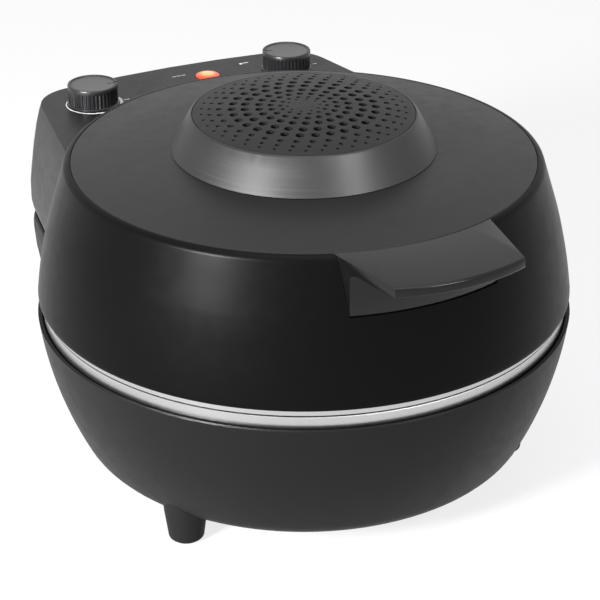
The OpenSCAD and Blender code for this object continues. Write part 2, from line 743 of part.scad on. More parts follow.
// Vent housing: a leaning ring on the top cover, with a ledge inside for the grille
vent_screw_r = vent_foot_r - 5;
vent_lean = (vent_foot_r - vent_top_r) / vent_h;
ledge_z = vent_top_z - grille_t;
vent_ledge_w = 5;
module vent_housing() {
    in_r = grille_r + grille_groove;
    foot_in = vent_foot_r - 8;
    color("#3a3a3d") about_axis() difference() {
        turned([
            [foot_in, cover_top_z], [vent_foot_r - 0.4, cover_top_z], [vent_foot_r, cover_top_z + 0.4],
            [vent_top_r + vent_lean * 1.2, vent_top_z - 1.2], [vent_top_r - 0.3, vent_top_z - 0.2],
            [in_r, vent_top_z], [in_r, ledge_z],
            [in_r - vent_ledge_w, ledge_z], [in_r - vent_ledge_w, ledge_z - wall],
            [vent_top_r - wall + vent_lean * 5, vent_top_z - 5 - wall],
            [vent_foot_r - wall - 1.6, cover_top_z + 3], [foot_in, cover_top_z + 3]
        ]);
        around(3, 0, vent_screw_r) pillar(screw_r + push_fit, cover_top_z - 1, cover_top_z + 2.7);
    }
}

// Grille: a shallow dome whose section breaks between the rings of holes. Each ring has
// ring_step holes more than the last, and every second ring is turned by half a pitch.
function dome_z(r) = vent_top_z + grille_rise * (1 - pow(r / grille_r, 2));
ring_count = len(ring_radii);
break_radii = [for (i = [0:ring_count - 2]) (ring_radii[i] + ring_radii[i + 1]) / 2];
dome_path = concat(
    [[grille_r, vent_top_z]],
    [for (i = [ring_count - 2:-1:0]) [break_radii[i], dome_z(break_radii[i])]],
    [[0, dome_z(0)]]
);
module ring_holes(i) {
    holes = first_ring_holes + ring_step * i;
    open = len(search(i, open_rings)) > 0;
    low = open ? ledge_z - 5 : dome_z(ring_radii[i]) - dimple_h;
    around(holes, (i % 2) * 180 / holes, ring_radii[i])
        translate([0, 0, low]) cylinder(d = ring_hole_d[i], h = vent_top_z + 20 - low, $fn = 16);
}
module vent_grille() {
    color("#3c3c3e") about_axis() difference() {
        turned(concat(dome_path, reversed([for (p = dome_path) p - [0, grille_t]])));
        for (i = [0:ring_count - 1]) ring_holes(i);
    }
}

module lid_trim_ring() {
    top = lid_foot_z;
    low = top - lid_band_h;
    color("#c9c9cb") about_axis() difference() {
        turned([
            [band_r - band_t, low], [band_r - 0.5, low], [band_r, low + 0.5], [band_r, top],
            [rim_flange_r + 1.5, top], [rim_flange_r + 1.5, top - sheet_t], [band_r - band_t, top - sheet_t]
        ]);
        rim_screw_holes(top - sheet_t - 1, top + 1);
    }
}

// Dome over the food, pressed from sheet
lid_wall_r = stone_r + stone_gap;
lid_dome = concat(
    [[liner_rim_r, lid_flange_z], [liner_mouth_r, lid_flange_z]],
    [[lid_wall_r + 6, lid_flange_z + 24]],
    arc(lid_wall_r - 14, lid_ceiling_z - 14, 14, 0, 90, 5),
    [[0, lid_ceiling_z]]
);
module lid_liner() {
    color("#8f9092") about_axis() difference() {
        turned(sheet(lid_dome, -sheet_t));
        rim_screw_holes(lid_flange_z - 1, lid_flange_z + sheet_t + 1);
        heater_leg_places(upper_heater_r) pillar(heater_d / 2 + 0.4, lid_ceiling_z - 1, ceiling_top_z + 1);
        pillar(shaft_r + 3, lid_ceiling_z - 1, ceiling_top_z + 1);
        around(3, 0, bracket_foot_r) pillar(screw_r + push_fit, lid_ceiling_z - 1, ceiling_top_z + 1);
    }
}
module lid_rim_screws() {
    color("#a9a9ad") about_axis()
        around(rim_screw_count, rim_screw_first, rim_screw_r) pan_screw(lid_flange_z, 2 * sheet_t + wall + 3, true);
}

// Cup with rows of holes that keeps the food and hands off the fan
guard_low_z = lid_ceiling_z - guard_drop;
module fan_guard() {
    cup = [
        [guard_r + guard_flange, lid_ceiling_z - sheet_t], [guard_r, lid_ceiling_z - sheet_t],
        [guard_r, guard_low_z + 4], [guard_r - 4, guard_low_z], [0, guard_low_z]
    ];
    color("#9b9c9e") about_axis() difference() {
        turned(sheet(cup, -sheet_t));
        for (i = [1:5])
            around(6 * i, 0, i * 10.5) pillar(3, guard_low_z - 1, guard_low_z + sheet_t + 1);
        for (i = [0:17])
            rotate([0, 0, i * 20]) translate([guard_r - 5, -4, guard_low_z + 8]) cube([10, 8, 14]);
    }
}

// Motor on a three-legged bracket over the dome
module fan_motor() {
    color("#6d6e72") about_axis() difference() {
        union() {
            pillar(motor_d / 2, motor_z, motor_top_z);
            pillar(12, motor_top_z, motor_top_z + motor_boss_h);
            pillar(motor_nose_r, motor_z - 4, motor_z);
        }
        pillar(shaft_r + running_fit, motor_z - 10, motor_top_z + 10);
        around(3, 60, motor_screw_r) pillar(screw_r + push_fit, motor_z - 1, motor_z + 6);
    }
}
module motor_bracket() {
    leg_w = 14;
    color("#a2a3a6") about_axis() difference() {
        union() {
            pillar(motor_d / 2 + 2, bracket_z, motor_z);
            around(3, 0, 0) translate([-leg_w / 2, -bracket_foot_r + leg_w / 2, bracket_z])
                cube([leg_w, bracket_foot_r - leg_w, bracket_t]);
            around(3, 0, 0) translate([-leg_w / 2, -bracket_foot_r + leg_w / 2, ceiling_top_z])
                cube([leg_w, bracket_t, motor_z - ceiling_top_z]);
            around(3, 0, 0) translate([-leg_w / 2, -bracket_foot_r - leg_w / 2, ceiling_top_z])
                cube([leg_w, leg_w + bracket_t, bracket_t]);
        }
        pillar(motor_nose_r + seat_fit, bracket_z - 1, motor_z + 1);
        around(3, 60, motor_screw_r) pillar(screw_r + push_fit, bracket_z - 1, motor_z + 1);
        around(3, 0, bracket_foot_r) pillar(screw_r + push_fit, ceiling_top_z - 1, ceiling_top_z + bracket_t + 1);
    }
}
module motor_screws() {
    color("#8c8c90") about_axis() {
        around(3, 60, motor_screw_r) pan_screw(bracket_z, 7, true);
        around(3, 0, bracket_foot_r) pan_screw(ceiling_top_z + bracket_t, bracket_t + sheet_t + 1, false);
    }
}
module thermal_cutout() {
    color("#c4b9a0") about_axis() translate([-62, 62, ceiling_top_z]) {
        cylinder(r = 8, h = 6, $fn = small_fn);
        translate([-12, -4, 0]) cube([24, 8, 1.2]);
        for (side = [-1, 1]) translate([side * 4 - 1.5, -0.4, 5]) cube([3, 0.8, 8]);
    }
}

module motor_shaft() {
    color("#c2c2c5") about_axis()
        pillar(shaft_r, hot_fan_z - fan_nut_h - 1, cool_fan_z + cool_fan_h + 0.5);
}
// Radial fan: a hub, a disc on one side and upright blades
module fan_wheel(d, h, z, disc_up) {
    hub_r = shaft_r + 5;
    disc_t = 1.2;
    disc_z = disc_up ? z + h - disc_t : z;
    blade_z = disc_up ? z : z + disc_t;
    difference() {
        union() {
            pillar(hub_r, z, z + h);
            translate([0, 0, disc_z]) cylinder(d = d, h = disc_t, $fn = 72);
            for (i = [0:fan_blades - 1])
                rotate([0, 0, i * 360 / fan_blades]) translate([hub_r - 1, -0.6, blade_z]) rotate([0, 0, -12])
                    cube([d / 2 - hub_r - 1, 1.2, h - disc_t]);
        }
        pillar(shaft_r + push_fit, z - 1, z + h + 1);
    }
}
module hot_air_fan() {
    color("#9b9c9e") about_axis() fan_wheel(hot_fan_d, hot_fan_h, hot_fan_z, true);
}
module cooling_fan() {
    color("#d7d7d4") about_axis() fan_wheel(cool_fan_d, cool_fan_h, cool_fan_z, false);
}
module fan_nut() {
    color("#b9b9bc") about_axis() difference() {
        translate([0, 0, hot_fan_z - fan_nut_h]) cylinder(r = shaft_r + 3, h = fan_nut_h, $fn = 6);
        pillar(shaft_r + push_fit, hot_fan_z - fan_nut_h - 1, hot_fan_z + 1);
    }
}

// Handle: a grip that carries on the line of the top, with an upright face under it that
// closes a notch in the lid's side
notch_z = crease_z - skirt_h;
grip_root_r = lip_r + seat_fit / 2;
grip_slope = 0.2;
under_fillet = 6;
grip_wall = 3;
root_y = sqrt(pow(lip_r, 2) - pow(handle_root_w / 2, 2));
front_corner_y = handle_reach - handle_front_bow + sqrt(pow(handle_front_bow, 2) - pow(handle_front_w / 2, 2));
side_lean = (handle_root_w - handle_front_w) / 2 / (front_corner_y - root_y);
function handle_plan(inset) = concat(
    [[-handle_root_w / 2 - side_lean * root_y + inset, 0]],
    [[-handle_front_w / 2 + inset, -front_corner_y + inset]],
    [for (i = [-5:5]) let (a = i / 6 * asin((handle_front_w / 2 - inset) / handle_front_bow))
        [handle_front_bow * sin(a), -(handle_reach - inset - handle_front_bow * (1 - cos(a)))]],
    [[handle_front_w / 2 - inset, -front_corner_y + inset]],
    [[handle_root_w / 2 + side_lean * root_y - inset, 0]]
);
module handle_wedge(inset, from_z, to_z) {
    translate([0, 0, from_z]) linear_extrude(height = to_z - from_z) polygon(handle_plan(inset));
}
module handle_notch() {
    tab_z = cover_seat_z - wall;
    intersection() {
        handle_wedge(-seat_fit, notch_z, crease_z + 5);
        turned([
            [crease_r - 40, notch_z], [crease_r + 40, notch_z], [crease_r + 40, crease_z + 5],
            [grip_root_r - seat_fit, crease_z + 5], [grip_root_r - seat_fit, tab_z - 0.1],
            [crease_r - 40, tab_z - 0.1]
        ]);
    }
}
module handle_screw_places() {
    for (a = [-8, 8]) rotate([0, 0, a]) translate([0, -cover_flange_r - 6, 0]) children();
}
module handle() {
    block_r = skirt_r - 14;
    low_z = notch_z + seat_fit / 2;
    front_top = crease_z - grip_slope;
    front_low = front_top - handle_t;
    tab_top = cover_seat_z - wall;
    color("#17171a") about_axis() difference() {
        union() {
            intersection() {
                handle_wedge(0, low_z, crease_z + 1);
                turned(concat(
                    [[block_r, low_z], [skirt_r, low_z]],
                    reversed(arc(skirt_r + under_fillet, front_low + 0.6 - under_fillet, under_fillet, 90, 180, 5)),
                    [[handle_reach + 5, front_low], [handle_reach + 5, front_top - 2.2]],
                    [[handle_reach + 3, front_top - 0.7], [handle_reach, front_top], [grip_root_r, crease_z]],
                    [[grip_root_r, tab_top - 0.1], [block_r, tab_top - 0.1]]
                ));
            }
            intersection() {
                translate([-30, -skirt_r + 6, tab_top - 3.1]) cube([60, 24, 3]);
                turned([[cover_flange_r - 2, tab_top - 4], [skirt_r - 4, tab_top - 4], [skirt_r - 4, tab_top], [cover_flange_r - 2, tab_top]]);
            }
        }
        intersection() {
            handle_wedge(grip_wall, low_z + grip_wall, tab_top - 5);
            turned([
                [block_r - 30, low_z + grip_wall], [skirt_r - grip_wall, low_z + grip_wall],
                [skirt_r - grip_wall, tab_top - 5], [block_r - 30, tab_top - 5]
            ]);
        }
        handle_screw_places() pillar(screw_r + push_fit, tab_top - 6, tab_top + 1);
    }
}
module handle_screws() {
    color("#8c8c90") about_axis()
        handle_screw_places() pan_screw(cover_seat_z - wall - 3.1, wall + 3, true);
}

// Control housing behind the lid
spindle_r = spindle_d / 2;
bush_r = spindle_r + 1.5;
housing_boss_places = [[-108, 180], [108, 180], [-40, 221], [40, 221]];
module housing_bosses(r, from_z, to_z) {
    for (p = housing_boss_places) translate([p[0], p[1], 0]) pillar(r, from_z, to_z);
}
housing_screw_angle = 16;
housing_screw_lifts = [24, 58];
housing_screw_sink = 0.8;
module housing_screw_places() {
    for (side = [-1, 1], lift = housing_screw_lifts)
        rotate([0, 0, side * housing_screw_angle])
            translate([0, lid_r_at(lid_foot_z + lift, -wall - seat_fit) - housing_screw_sink, lid_foot_z + lift])
                rotate([-90, 0, 0]) children();
}
module control_housing() {
    plate_z = hinge_z + 5.5;
    color("#323234") about_axis() difference() {
        union() {
            difference() {
                upper_form(0);
                difference() {
                    upper_form(wall);
                    lid_form(wall + seat_fit / 2);
                }
            }
            intersection() {
                housing_bosses(4.5, plate_z, panel_z - 1);
                upper_form(wall / 2);
            }
        }
        lid_form(seat_fit / 2);
        across(-barrel_end_x - 0.5, barrel_end_x + 0.5, relief_r);
        across(-barrel_end_x - 60, barrel_end_x + 60, 2);
        housing_bosses(screw_r + push_fit, plate_z - 10, plate_z + 12);
        for (side = [-1, 1]) translate([side * knob_x, knob_y, 0]) pillar(bush_r + seat_fit, panel_z - 10, panel_z + 10);
        translate([lamp_x, lamp_y, 0]) pillar(lens_d / 2 - 1.5 + seat_fit, panel_z - 10, panel_z + 10);
        housing_screw_places() {
            translate([0, 0, -12]) cylinder(r = screw_r + push_fit, h = 20, $fn = small_fn);
            cylinder(r = screw_head_r + seat_fit, h = 6, $fn = small_fn);
        }
    }
}

// Plate that closes the housing from below and carries the lid's knuckles
module hinge_plate() {
    low_z = hinge_z + 3;
    plate_t = 2.5;
    color("#2b2b2d") about_axis() difference() {
        union() {
            intersection() {
                translate([0, 0, low_z]) linear_extrude(height = plate_t)
                    polygon(housing_plan(side_swell - rim_turn_in - 2 * wall, rear_swell - rim_turn_in - 2 * wall));
                translate([-panel_reach, 0, low_z - 1]) cube([2 * panel_reach, hinge_y - relief_r, plate_t + 2]);
            }
            for (side = [-1, 1]) scale([side, 1, 1]) {
                across(knuckle_x - knuckle_w / 2, knuckle_x + knuckle_w / 2, barrel_r);
                translate([knuckle_x - knuckle_w / 2, hinge_y - 24, low_z]) cube([knuckle_w, 24, plate_t]);
            }
        }
        lid_form(wall + seat_fit);
        for (side = [-1, 1])
            scale([side, 1, 1]) across(knuckle_x - knuckle_w, knuckle_x + knuckle_w, pin_r + running_fit);
        housing_bosses(screw_r + push_fit, low_z - 1, low_z + plate_t + 1);
    }
}
module housing_screws() {
    color("#8c8c90") about_axis() {
        for (p = housing_boss_places) translate([p[0], p[1], 0]) pan_screw(hinge_z + 3, 12, true);
        housing_screw_places() pan_screw(0, 2 * wall + 4, false);
    }
}

module control_body(side, r, h) {
    top = panel_z - wall;
    translate([side * knob_x, knob_y, 0]) difference() {
        union() {
            pillar(r, top - 4 - h, top - 4);
            pillar(11, top - 4, top);
            pillar(bush_r, top, panel_z + 1);
        }
        pillar(spindle_r + running_fit, top - 14, panel_z + 2);
    }
}
thermostat_r = 17;
thermostat_h = 20;
timer_r = 21;
timer_h = 24;
module thermostat_body() {
    color("#d9d6cc") about_axis() control_body(-1, thermostat_r, thermostat_h);
}
module timer_body() {
    color("#c9c8c2") about_axis() control_body(1, timer_r, timer_h);
}
module spindle(side) {
    color("#c2c2c5") about_axis() translate([side * knob_x, knob_y, 0])
        pillar(spindle_r, panel_z - wall - 12, panel_z + knob_h - 4);
}
module thermostat_spindle() { spindle(-1); }
module timer_spindle() { spindle(1); }

// Knob: a ribbed cup on a hub, with a dished top and a pointer notch
knob_r = knob_d / 2;
cap_r = knob_r + 0.3;
knob_lift = 0.6;
function ribbed(r, depth, ribs) = [
    for (i = [0:4 * ribs - 1])
        let (a = i * 90 / ribs, low = i % 4 < 2)
        [(r - (low ? depth : 0)) * cos(a), (r - (low ? depth : 0)) * sin(a)]
];
module knob(side, pointer) {
    z = panel_z + knob_lift;
    top = z + knob_h;
    color("#19191b") about_axis() translate([side * knob_x, knob_y, 0]) rotate([0, 0, pointer]) difference() {
        union() {
            pillar_48(knob_r + 1, z, z + 1.6);
            translate([0, 0, z + 1.2]) linear_extrude(height = knob_h - 3.2) polygon(ribbed(knob_r, 0.5, knob_ribs));
            rotate_extrude($fn = 72) polygon([
                [0, top - 4], [cap_r, top - 4], [cap_r, top - 1], [cap_r - 0.8, top],
                [cap_r - 2, top], [cap_r - 3.4, top - 1], [0, top - 1.4]
            ]);
        }
        difference() {
            pillar_48(knob_r - 3, z - 1, top - 5);
            pillar_48(spindle_r + 3, z - 2, top);
        }
        pillar_48(spindle_r + 3.5, z - 1, z + 2.2);
        pillar(spindle_r + push_fit, z - 1, panel_z + knob_h - 3.5);
        translate([knob_r - 8, -0.7, top - 2.4]) cube([9, 1.4, 4]);
    }
}
module pillar_48(r, from_z, to_z) {
    translate([0, 0, from_z]) cylinder(r = r, h = to_z - from_z, $fn = 72);
}
module thermostat_knob() { knob(-1, -15); }
module timer_knob() { knob(1, 153); }

module indicator_lens() {
    r = lens_d / 2;
    color("#ff8a3c") about_axis() translate([lamp_x, lamp_y, 0]) rotate_extrude($fn = 48) polygon(concat(
        [[0, panel_z - wall - 4], [r - 1.5, panel_z - wall - 4], [r - 1.5, panel_z], [r, panel_z]],
        [[r, panel_z + 0.8], [r - 0.6, panel_z + 1.2], [r - 2, panel_z + 1.2]],
        [[r - 4, panel_z + 2.1], [r - 6.5, panel_z + 2.6], [0, panel_z + 2.9]]
    ));
}
module indicator_lamp() {
    color("#e8e2d0") about_axis() translate([lamp_x, lamp_y, 0]) pillar(5, panel_z - wall - 20, panel_z - wall - 4);
}

base_shell();
bottom_cover();
bottom_cover_screws();
base_trim_ring();
base_liner();
base_rim_screws();
pizza_stone();
lower_heater();
lower_heater_clips();
terminal_block();
rear_bracket();
cord_gland();
hinge_pin_left();
hinge_pin_right();
foot_left();
foot_right();
foot_rear();
foot_pads();
foot_screws();
lid_shell();
top_cover();
top_cover_screws();
vent_housing();
vent_grille();
lid_trim_ring();
lid_liner();
lid_rim_screws();
upper_heater();
upper_heater_clips();
fan_guard();
fan_motor();
motor_bracket();
motor_screws();
thermal_cutout();
handle();
handle_screws();
control_housing();
hinge_plate();
housing_screws();
thermostat_body();
timer_body();
indicator_lens();
indicator_lamp();
motor_shaft();
hot_air_fan();
cooling_fan();
fan_nut();
thermostat_knob();
thermostat_spindle();
timer_knob();
timer_spindle();
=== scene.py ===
"""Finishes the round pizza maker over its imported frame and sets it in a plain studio."""

from __future__ import annotations

import json
import logging
import math
from dataclasses import dataclass
from enum import Enum
from typing import Callable, Iterable, Sequence

import bmesh
import bpy
from mathutils import Matrix, Vector

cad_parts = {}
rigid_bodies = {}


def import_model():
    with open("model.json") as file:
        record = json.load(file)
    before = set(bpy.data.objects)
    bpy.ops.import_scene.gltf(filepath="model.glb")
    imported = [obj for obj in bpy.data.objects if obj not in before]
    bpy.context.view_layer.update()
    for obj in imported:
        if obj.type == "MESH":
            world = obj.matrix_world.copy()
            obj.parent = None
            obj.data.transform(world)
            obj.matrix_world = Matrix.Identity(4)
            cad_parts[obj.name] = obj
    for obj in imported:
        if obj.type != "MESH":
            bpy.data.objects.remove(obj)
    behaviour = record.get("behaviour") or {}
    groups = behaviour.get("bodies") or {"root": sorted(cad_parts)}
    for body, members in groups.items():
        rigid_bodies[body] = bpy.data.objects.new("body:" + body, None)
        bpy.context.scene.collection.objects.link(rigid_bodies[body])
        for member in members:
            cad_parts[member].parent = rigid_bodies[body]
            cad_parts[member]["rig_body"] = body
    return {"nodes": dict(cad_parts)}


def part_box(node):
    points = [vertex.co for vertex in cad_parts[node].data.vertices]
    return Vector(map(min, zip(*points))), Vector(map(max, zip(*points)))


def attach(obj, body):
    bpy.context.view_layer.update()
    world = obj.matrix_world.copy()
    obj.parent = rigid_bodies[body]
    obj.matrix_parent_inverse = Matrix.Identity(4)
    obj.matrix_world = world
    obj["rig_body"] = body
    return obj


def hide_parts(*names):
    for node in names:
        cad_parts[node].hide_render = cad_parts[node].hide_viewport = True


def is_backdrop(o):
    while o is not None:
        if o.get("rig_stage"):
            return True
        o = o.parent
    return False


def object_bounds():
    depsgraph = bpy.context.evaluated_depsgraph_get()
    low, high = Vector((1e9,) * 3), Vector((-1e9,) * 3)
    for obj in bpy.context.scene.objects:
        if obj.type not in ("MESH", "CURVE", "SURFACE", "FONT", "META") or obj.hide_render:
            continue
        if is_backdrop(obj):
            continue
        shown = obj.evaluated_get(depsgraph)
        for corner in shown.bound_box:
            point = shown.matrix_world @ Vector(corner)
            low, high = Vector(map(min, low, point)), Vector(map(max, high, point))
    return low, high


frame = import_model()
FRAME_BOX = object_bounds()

LOG = logging.getLogger("pizza_maker")
MM = 0.001
Colour = tuple[float, float, float]
Point = tuple[float, float]
Socket = bpy.types.NodeSocket
Material = bpy.types.Material
Shape = bmesh.types.BMesh
Edges = list[bmesh.types.BMEdge]


def axis_centre() -> Vector:
    """Finds where the round body's axis stands.

    Returns:
        The point on the table under the middle of the grille.
    """
    low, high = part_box("vent_grille")
    return Vector(((low.x + high.x) / 2, (low.y + high.y) / 2, 0.0))


AXIS = axis_centre()


class Body(str, Enum):
    """The rigid bodies that pieces ride on."""

    BASE = "base"
    LID = "lid"
    ROTOR = "fan_rotor"
    THERMOSTAT = "thermostat_dial"
    TIMER = "timer_dial"


class Grain(Enum):
    """How the surface of a moulding is textured: size and depth in millimetres."""

    SATIN = (0.55, 0.012)
    FINE = (0.35, 0.02)
    COARSE = (0.9, 0.05)
    POLISHED = (6.0, 0.004)


class NodeSheet:
    """Builds one material's nodes, left to right, round a Principled shader."""

    def __init__(self, name: str) -> None:
        """Starts a material with its shader and Object coordinates.

        Args:
            name: Name of the material.
        """
        self.material = bpy.data.materials.new(name)
        self.material.use_nodes = True
        self.tree = self.material.node_tree
        self.tree.nodes.clear()
        self.output = self.tree.nodes.new("ShaderNodeOutputMaterial")
        self.shader = self.tree.nodes.new("ShaderNodeBsdfPrincipled")
        self.tree.links.new(self.shader.outputs[0], self.output.inputs[0])
        self.place = self.tree.nodes.new("ShaderNodeTexCoord").outputs["Object"]

    def node(self, kind: str, **settings: object) -> bpy.types.Node:
        """Adds a node.

        Args:
            kind: Node type without its ShaderNode prefix.
            settings: Properties to set on it.

        Returns:
            The new node.
        """
        made = self.tree.nodes.new("ShaderNode" + kind)
        for key, value in settings.items():
            setattr(made, key, value)
        return made

    def feed(self, socket: Socket, value: object) -> None:
        """Gives a socket a link or a constant.

        Args:
            socket: Socket that gets it.
            value: Another node's output, or the constant.
        """
        if isinstance(value, Socket):
            self.tree.links.new(value, socket)
        else:
            socket.default_value = value

    def set(self, **values: object) -> None:
        """Feeds the shader's own sockets.

        Args:
            values: Socket names in lower case with underscores, and what goes in.
        """
        for key, value in values.items():
            self.feed(self.shader.inputs[key.replace("_", " ").title().replace("Ior", "IOR")], value)

    def shifted(self, centre: Vector, stretch: Sequence[float] = (1, 1, 1)) -> Socket:
        """Centres the coordinates on a point and stretches them.

        Args:
            centre: Point in metres that becomes the origin.
            stretch: Scale along each axis.

        Returns:
            The new coordinates.
        """
        mapping = self.node("Mapping")
        self.feed(mapping.inputs["Vector"], self.place)
        mapping.inputs["Location"].default_value = [-c * s for c, s in zip(centre, stretch)]
        mapping.inputs["Scale"].default_value = stretch
        return mapping.outputs[0]

    def noise(
        self, size_mm: float, detail: float = 2.0, vector: object = None, rough: float = 0.5
    ) -> Socket:
        """Adds a noise whose blobs are about one size.

        Args:
            size_mm: Blob size in millimetres.
            detail: Octaves.
            vector: Coordinates, or the object's own.
            rough: Share of the finer octaves.

        Returns:
            The value, from 0 to 1.
        """
        made = self.node("TexNoise")
        self.feed(made.inputs["Vector"], vector or self.place)
        made.inputs["Scale"].default_value = 1.0 / (size_mm * MM)
        made.inputs["Detail"].default_value = detail
        made.inputs["Roughness"].default_value = rough
        return made.outputs["Fac"]

    def maths(
        self, operation: str, first: object, second: object = 0.0, third: object = 0.0
    ) -> Socket:
        """Adds a Math node.

        Args:
            operation: Its operation.
            first: First operand.
            second: Second operand.
            third: Third operand.

        Returns:
            The result.
        """
        made = self.node("Math", operation=operation)
        for socket, value in zip(made.inputs, (first, second, third)):
            self.feed(socket, value)
        return made.outputs[0]

    def spread(
        self, value: object, low: float, high: float, to_low: float, to_high: float
    ) -> Socket:
        """Maps a range to another, smoothly and clamped.

        Args:
            value: What is mapped.
            low: Start of its range.
            high: End of its range.
            to_low: Result at the start.
            to_high: Result at the end.

        Returns:
            The mapped value.
        """
        made = self.node("MapRange", interpolation_type="SMOOTHSTEP")
        for socket, number in zip(made.inputs, (value, low, high, to_low, to_high)):
            self.feed(socket, number)
        return made.outputs[0]

    def tint(self, share: object, first: Colour, second: Colour) -> Socket:
        """Blends two colours by a varying share.

        Args:
            share: Share of the second colour.
            first: First colour.
            second: Second colour.

        Returns:
            The blended colour.
        """
        ramp = self.node("ValToRGB")
        ramp.color_ramp.elements[0].color = (*first, 1)
        ramp.color_ramp.elements[1].color = (*second, 1)
        self.feed(ramp.inputs[0], share)
        return ramp.outputs[0]

    def bump(self, height: object, depth_mm: float, under: object = None) -> Socket:
        """Turns a height into a normal.

        Args:
            height: Height from 0 to 1.
            depth_mm: Real depth of that height.
            under: Normal that this one lies on.

        Returns:
            The normal.
        """
        made = self.node("Bump")
        made.inputs["Strength"].default_value = 1.0
        made.inputs["Distance"].default_value = depth_mm * MM
        self.feed(made.inputs["Height"], height)
        if under is not None:
            self.feed(made.inputs["Normal"], under)
        return made.outputs[0]

    def round_coordinates(self, centre: Vector) -> tuple[Socket, Socket, Socket]:
        """Splits the place into what a turned surface needs.

        Args:
            centre: Point on the upright axis.

        Returns:
            Distance from the axis, height, and the direction round the axis.
        """
        split = self.node("SeparateXYZ")
        self.feed(split.inputs[0], self.shifted(centre))
        flat = self.node("CombineXYZ")
        self.feed(flat.inputs[0], split.outputs[0])
        self.feed(flat.inputs[1], split.outputs[1])
        length = self.node("VectorMath", operation="LENGTH")
        self.feed(length.inputs[0], flat.outputs[0])
        turned = self.node("CombineXYZ")
        self.feed(turned.inputs[0], self.maths("MULTIPLY", split.outputs[1], -1.0))
        self.feed(turned.inputs[1], split.outputs[0])
        world = self.node("VectorTransform", vector_type="VECTOR", convert_from="OBJECT", convert_to="WORLD")
        self.feed(world.inputs[0], turned.outputs[0])
        unit = self.node("VectorMath", operation="NORMALIZE")
        self.feed(unit.inputs[0], world.outputs[0])
        return length.outputs["Value"], split.outputs[2], unit.outputs[0]


@dataclass(frozen=True)
class Moulding:
    """Moulded plastic or paint: a base colour with mottling, grain and rubbed patches."""

    name: str
    colour: Colour
    roughness: float
    grain: Grain = Grain.SATIN
    mottle: float = 0.12
    metallic: float = 0.0
    ior: float = 1.47
    patch_mm: float = 38.0
    rub_mm: float = 11.0
    fine_share: float = 0.45

    def material(self) -> Material:
        """Builds the material.

        Returns:
            The material.
        """
        sheet = NodeSheet(self.name)
        size, depth = self.grain.value
        patches = sheet.noise(self.patch_mm, 3.0)
        fine = sheet.noise(size, 2.0)
        dark = tuple(c * (1 - self.mottle) for c in self.colour)
        light = tuple(c * (1 + self.mottle) for c in self.colour)
        broad = sheet.maths("MULTIPLY", patches, 1 - self.fine_share)
        blend = sheet.maths("MULTIPLY_ADD", fine, self.fine_share, broad)
        worn = sheet.noise(self.rub_mm, 4.0, rough=0.65)
        rub = sheet.spread(worn, 0.35, 0.7, self.roughness * 0.95, self.roughness * 1.07)
        sheet.set(
            base_color=sheet.tint(blend, dark, light),
            roughness=sheet.maths("MULTIPLY_ADD", fine, 0.04, sheet.maths("SUBTRACT", rub, 0.02)),
            metallic=self.metallic,
            ior=self.ior,
            normal=sheet.bump(fine, depth),
        )
        return sheet.material


@dataclass(frozen=True)
class RoundBrushed:
    """Metal brushed round the upright axis, with fine rings of scratches."""

    name: str
    colour: Colour
    roughness: float
    anisotropy: float = 0.75
    line_mm: float = 0.22
    depth_mm: float = 0.003
    spread: float = 0.16

    def material(self) -> Material:
        """Builds the material.

        Returns:
            The material.
        """
        sheet = NodeSheet(self.name)
        radius, height, round_way = sheet.round_coordinates(AXIS)
        rings = sheet.node("CombineXYZ")
        sheet.feed(rings.inputs[0], radius)
        sheet.feed(rings.inputs[2], height)
        lines = sheet.noise(self.line_mm, 3.0, rings.outputs[0], 0.7)
        clouds = sheet.noise(24.0, 3.0)
        dark = tuple(c * (1 - self.spread) for c in self.colour)
        light = tuple(min(1.0, c * (1 + self.spread)) for c in self.colour)
        blend = sheet.maths("MULTIPLY_ADD", lines, 0.7, sheet.maths("MULTIPLY", clouds, 0.3))
        sheet.set(
            base_color=sheet.tint(blend, dark, light),
            metallic=1.0,
            roughness=sheet.spread(lines, 0.3, 0.7, self.roughness - 0.05, self.roughness + 0.06),
            anisotropic=self.anisotropy,
            tangent=round_way,
            normal=sheet.bump(lines, self.depth_mm),
        )
        return sheet.material


@dataclass(frozen=True)
class Pressed:
    """Pressed sheet or cut metal: small scratches in every direction and faint stains."""

    name: str
    colour: Colour
    roughness: float
    stain: Colour

    def material(self) -> Material:
        """Builds the material.

        Returns:
            The material.
        """
        sheet = NodeSheet(self.name)
        stretched = sheet.shifted(AXIS, (1.0, 0.12, 0.4))
        scratches = sheet.noise(0.5, 4.0, stretched, 0.7)
        stains = sheet.spread(sheet.noise(17.0, 4.0, rough=0.6), 0.48, 0.72, 0.0, 1.0)
        sheet.set(
            base_color=sheet.tint(sheet.maths("MULTIPLY", stains, 0.55), self.colour, self.stain),
            metallic=0.95,
            roughness=sheet.spread(scratches, 0.3, 0.7, self.roughness - 0.07, self.roughness + 0.09),
            normal=sheet.bump(scratches, 0.004),
        )
        return sheet.material


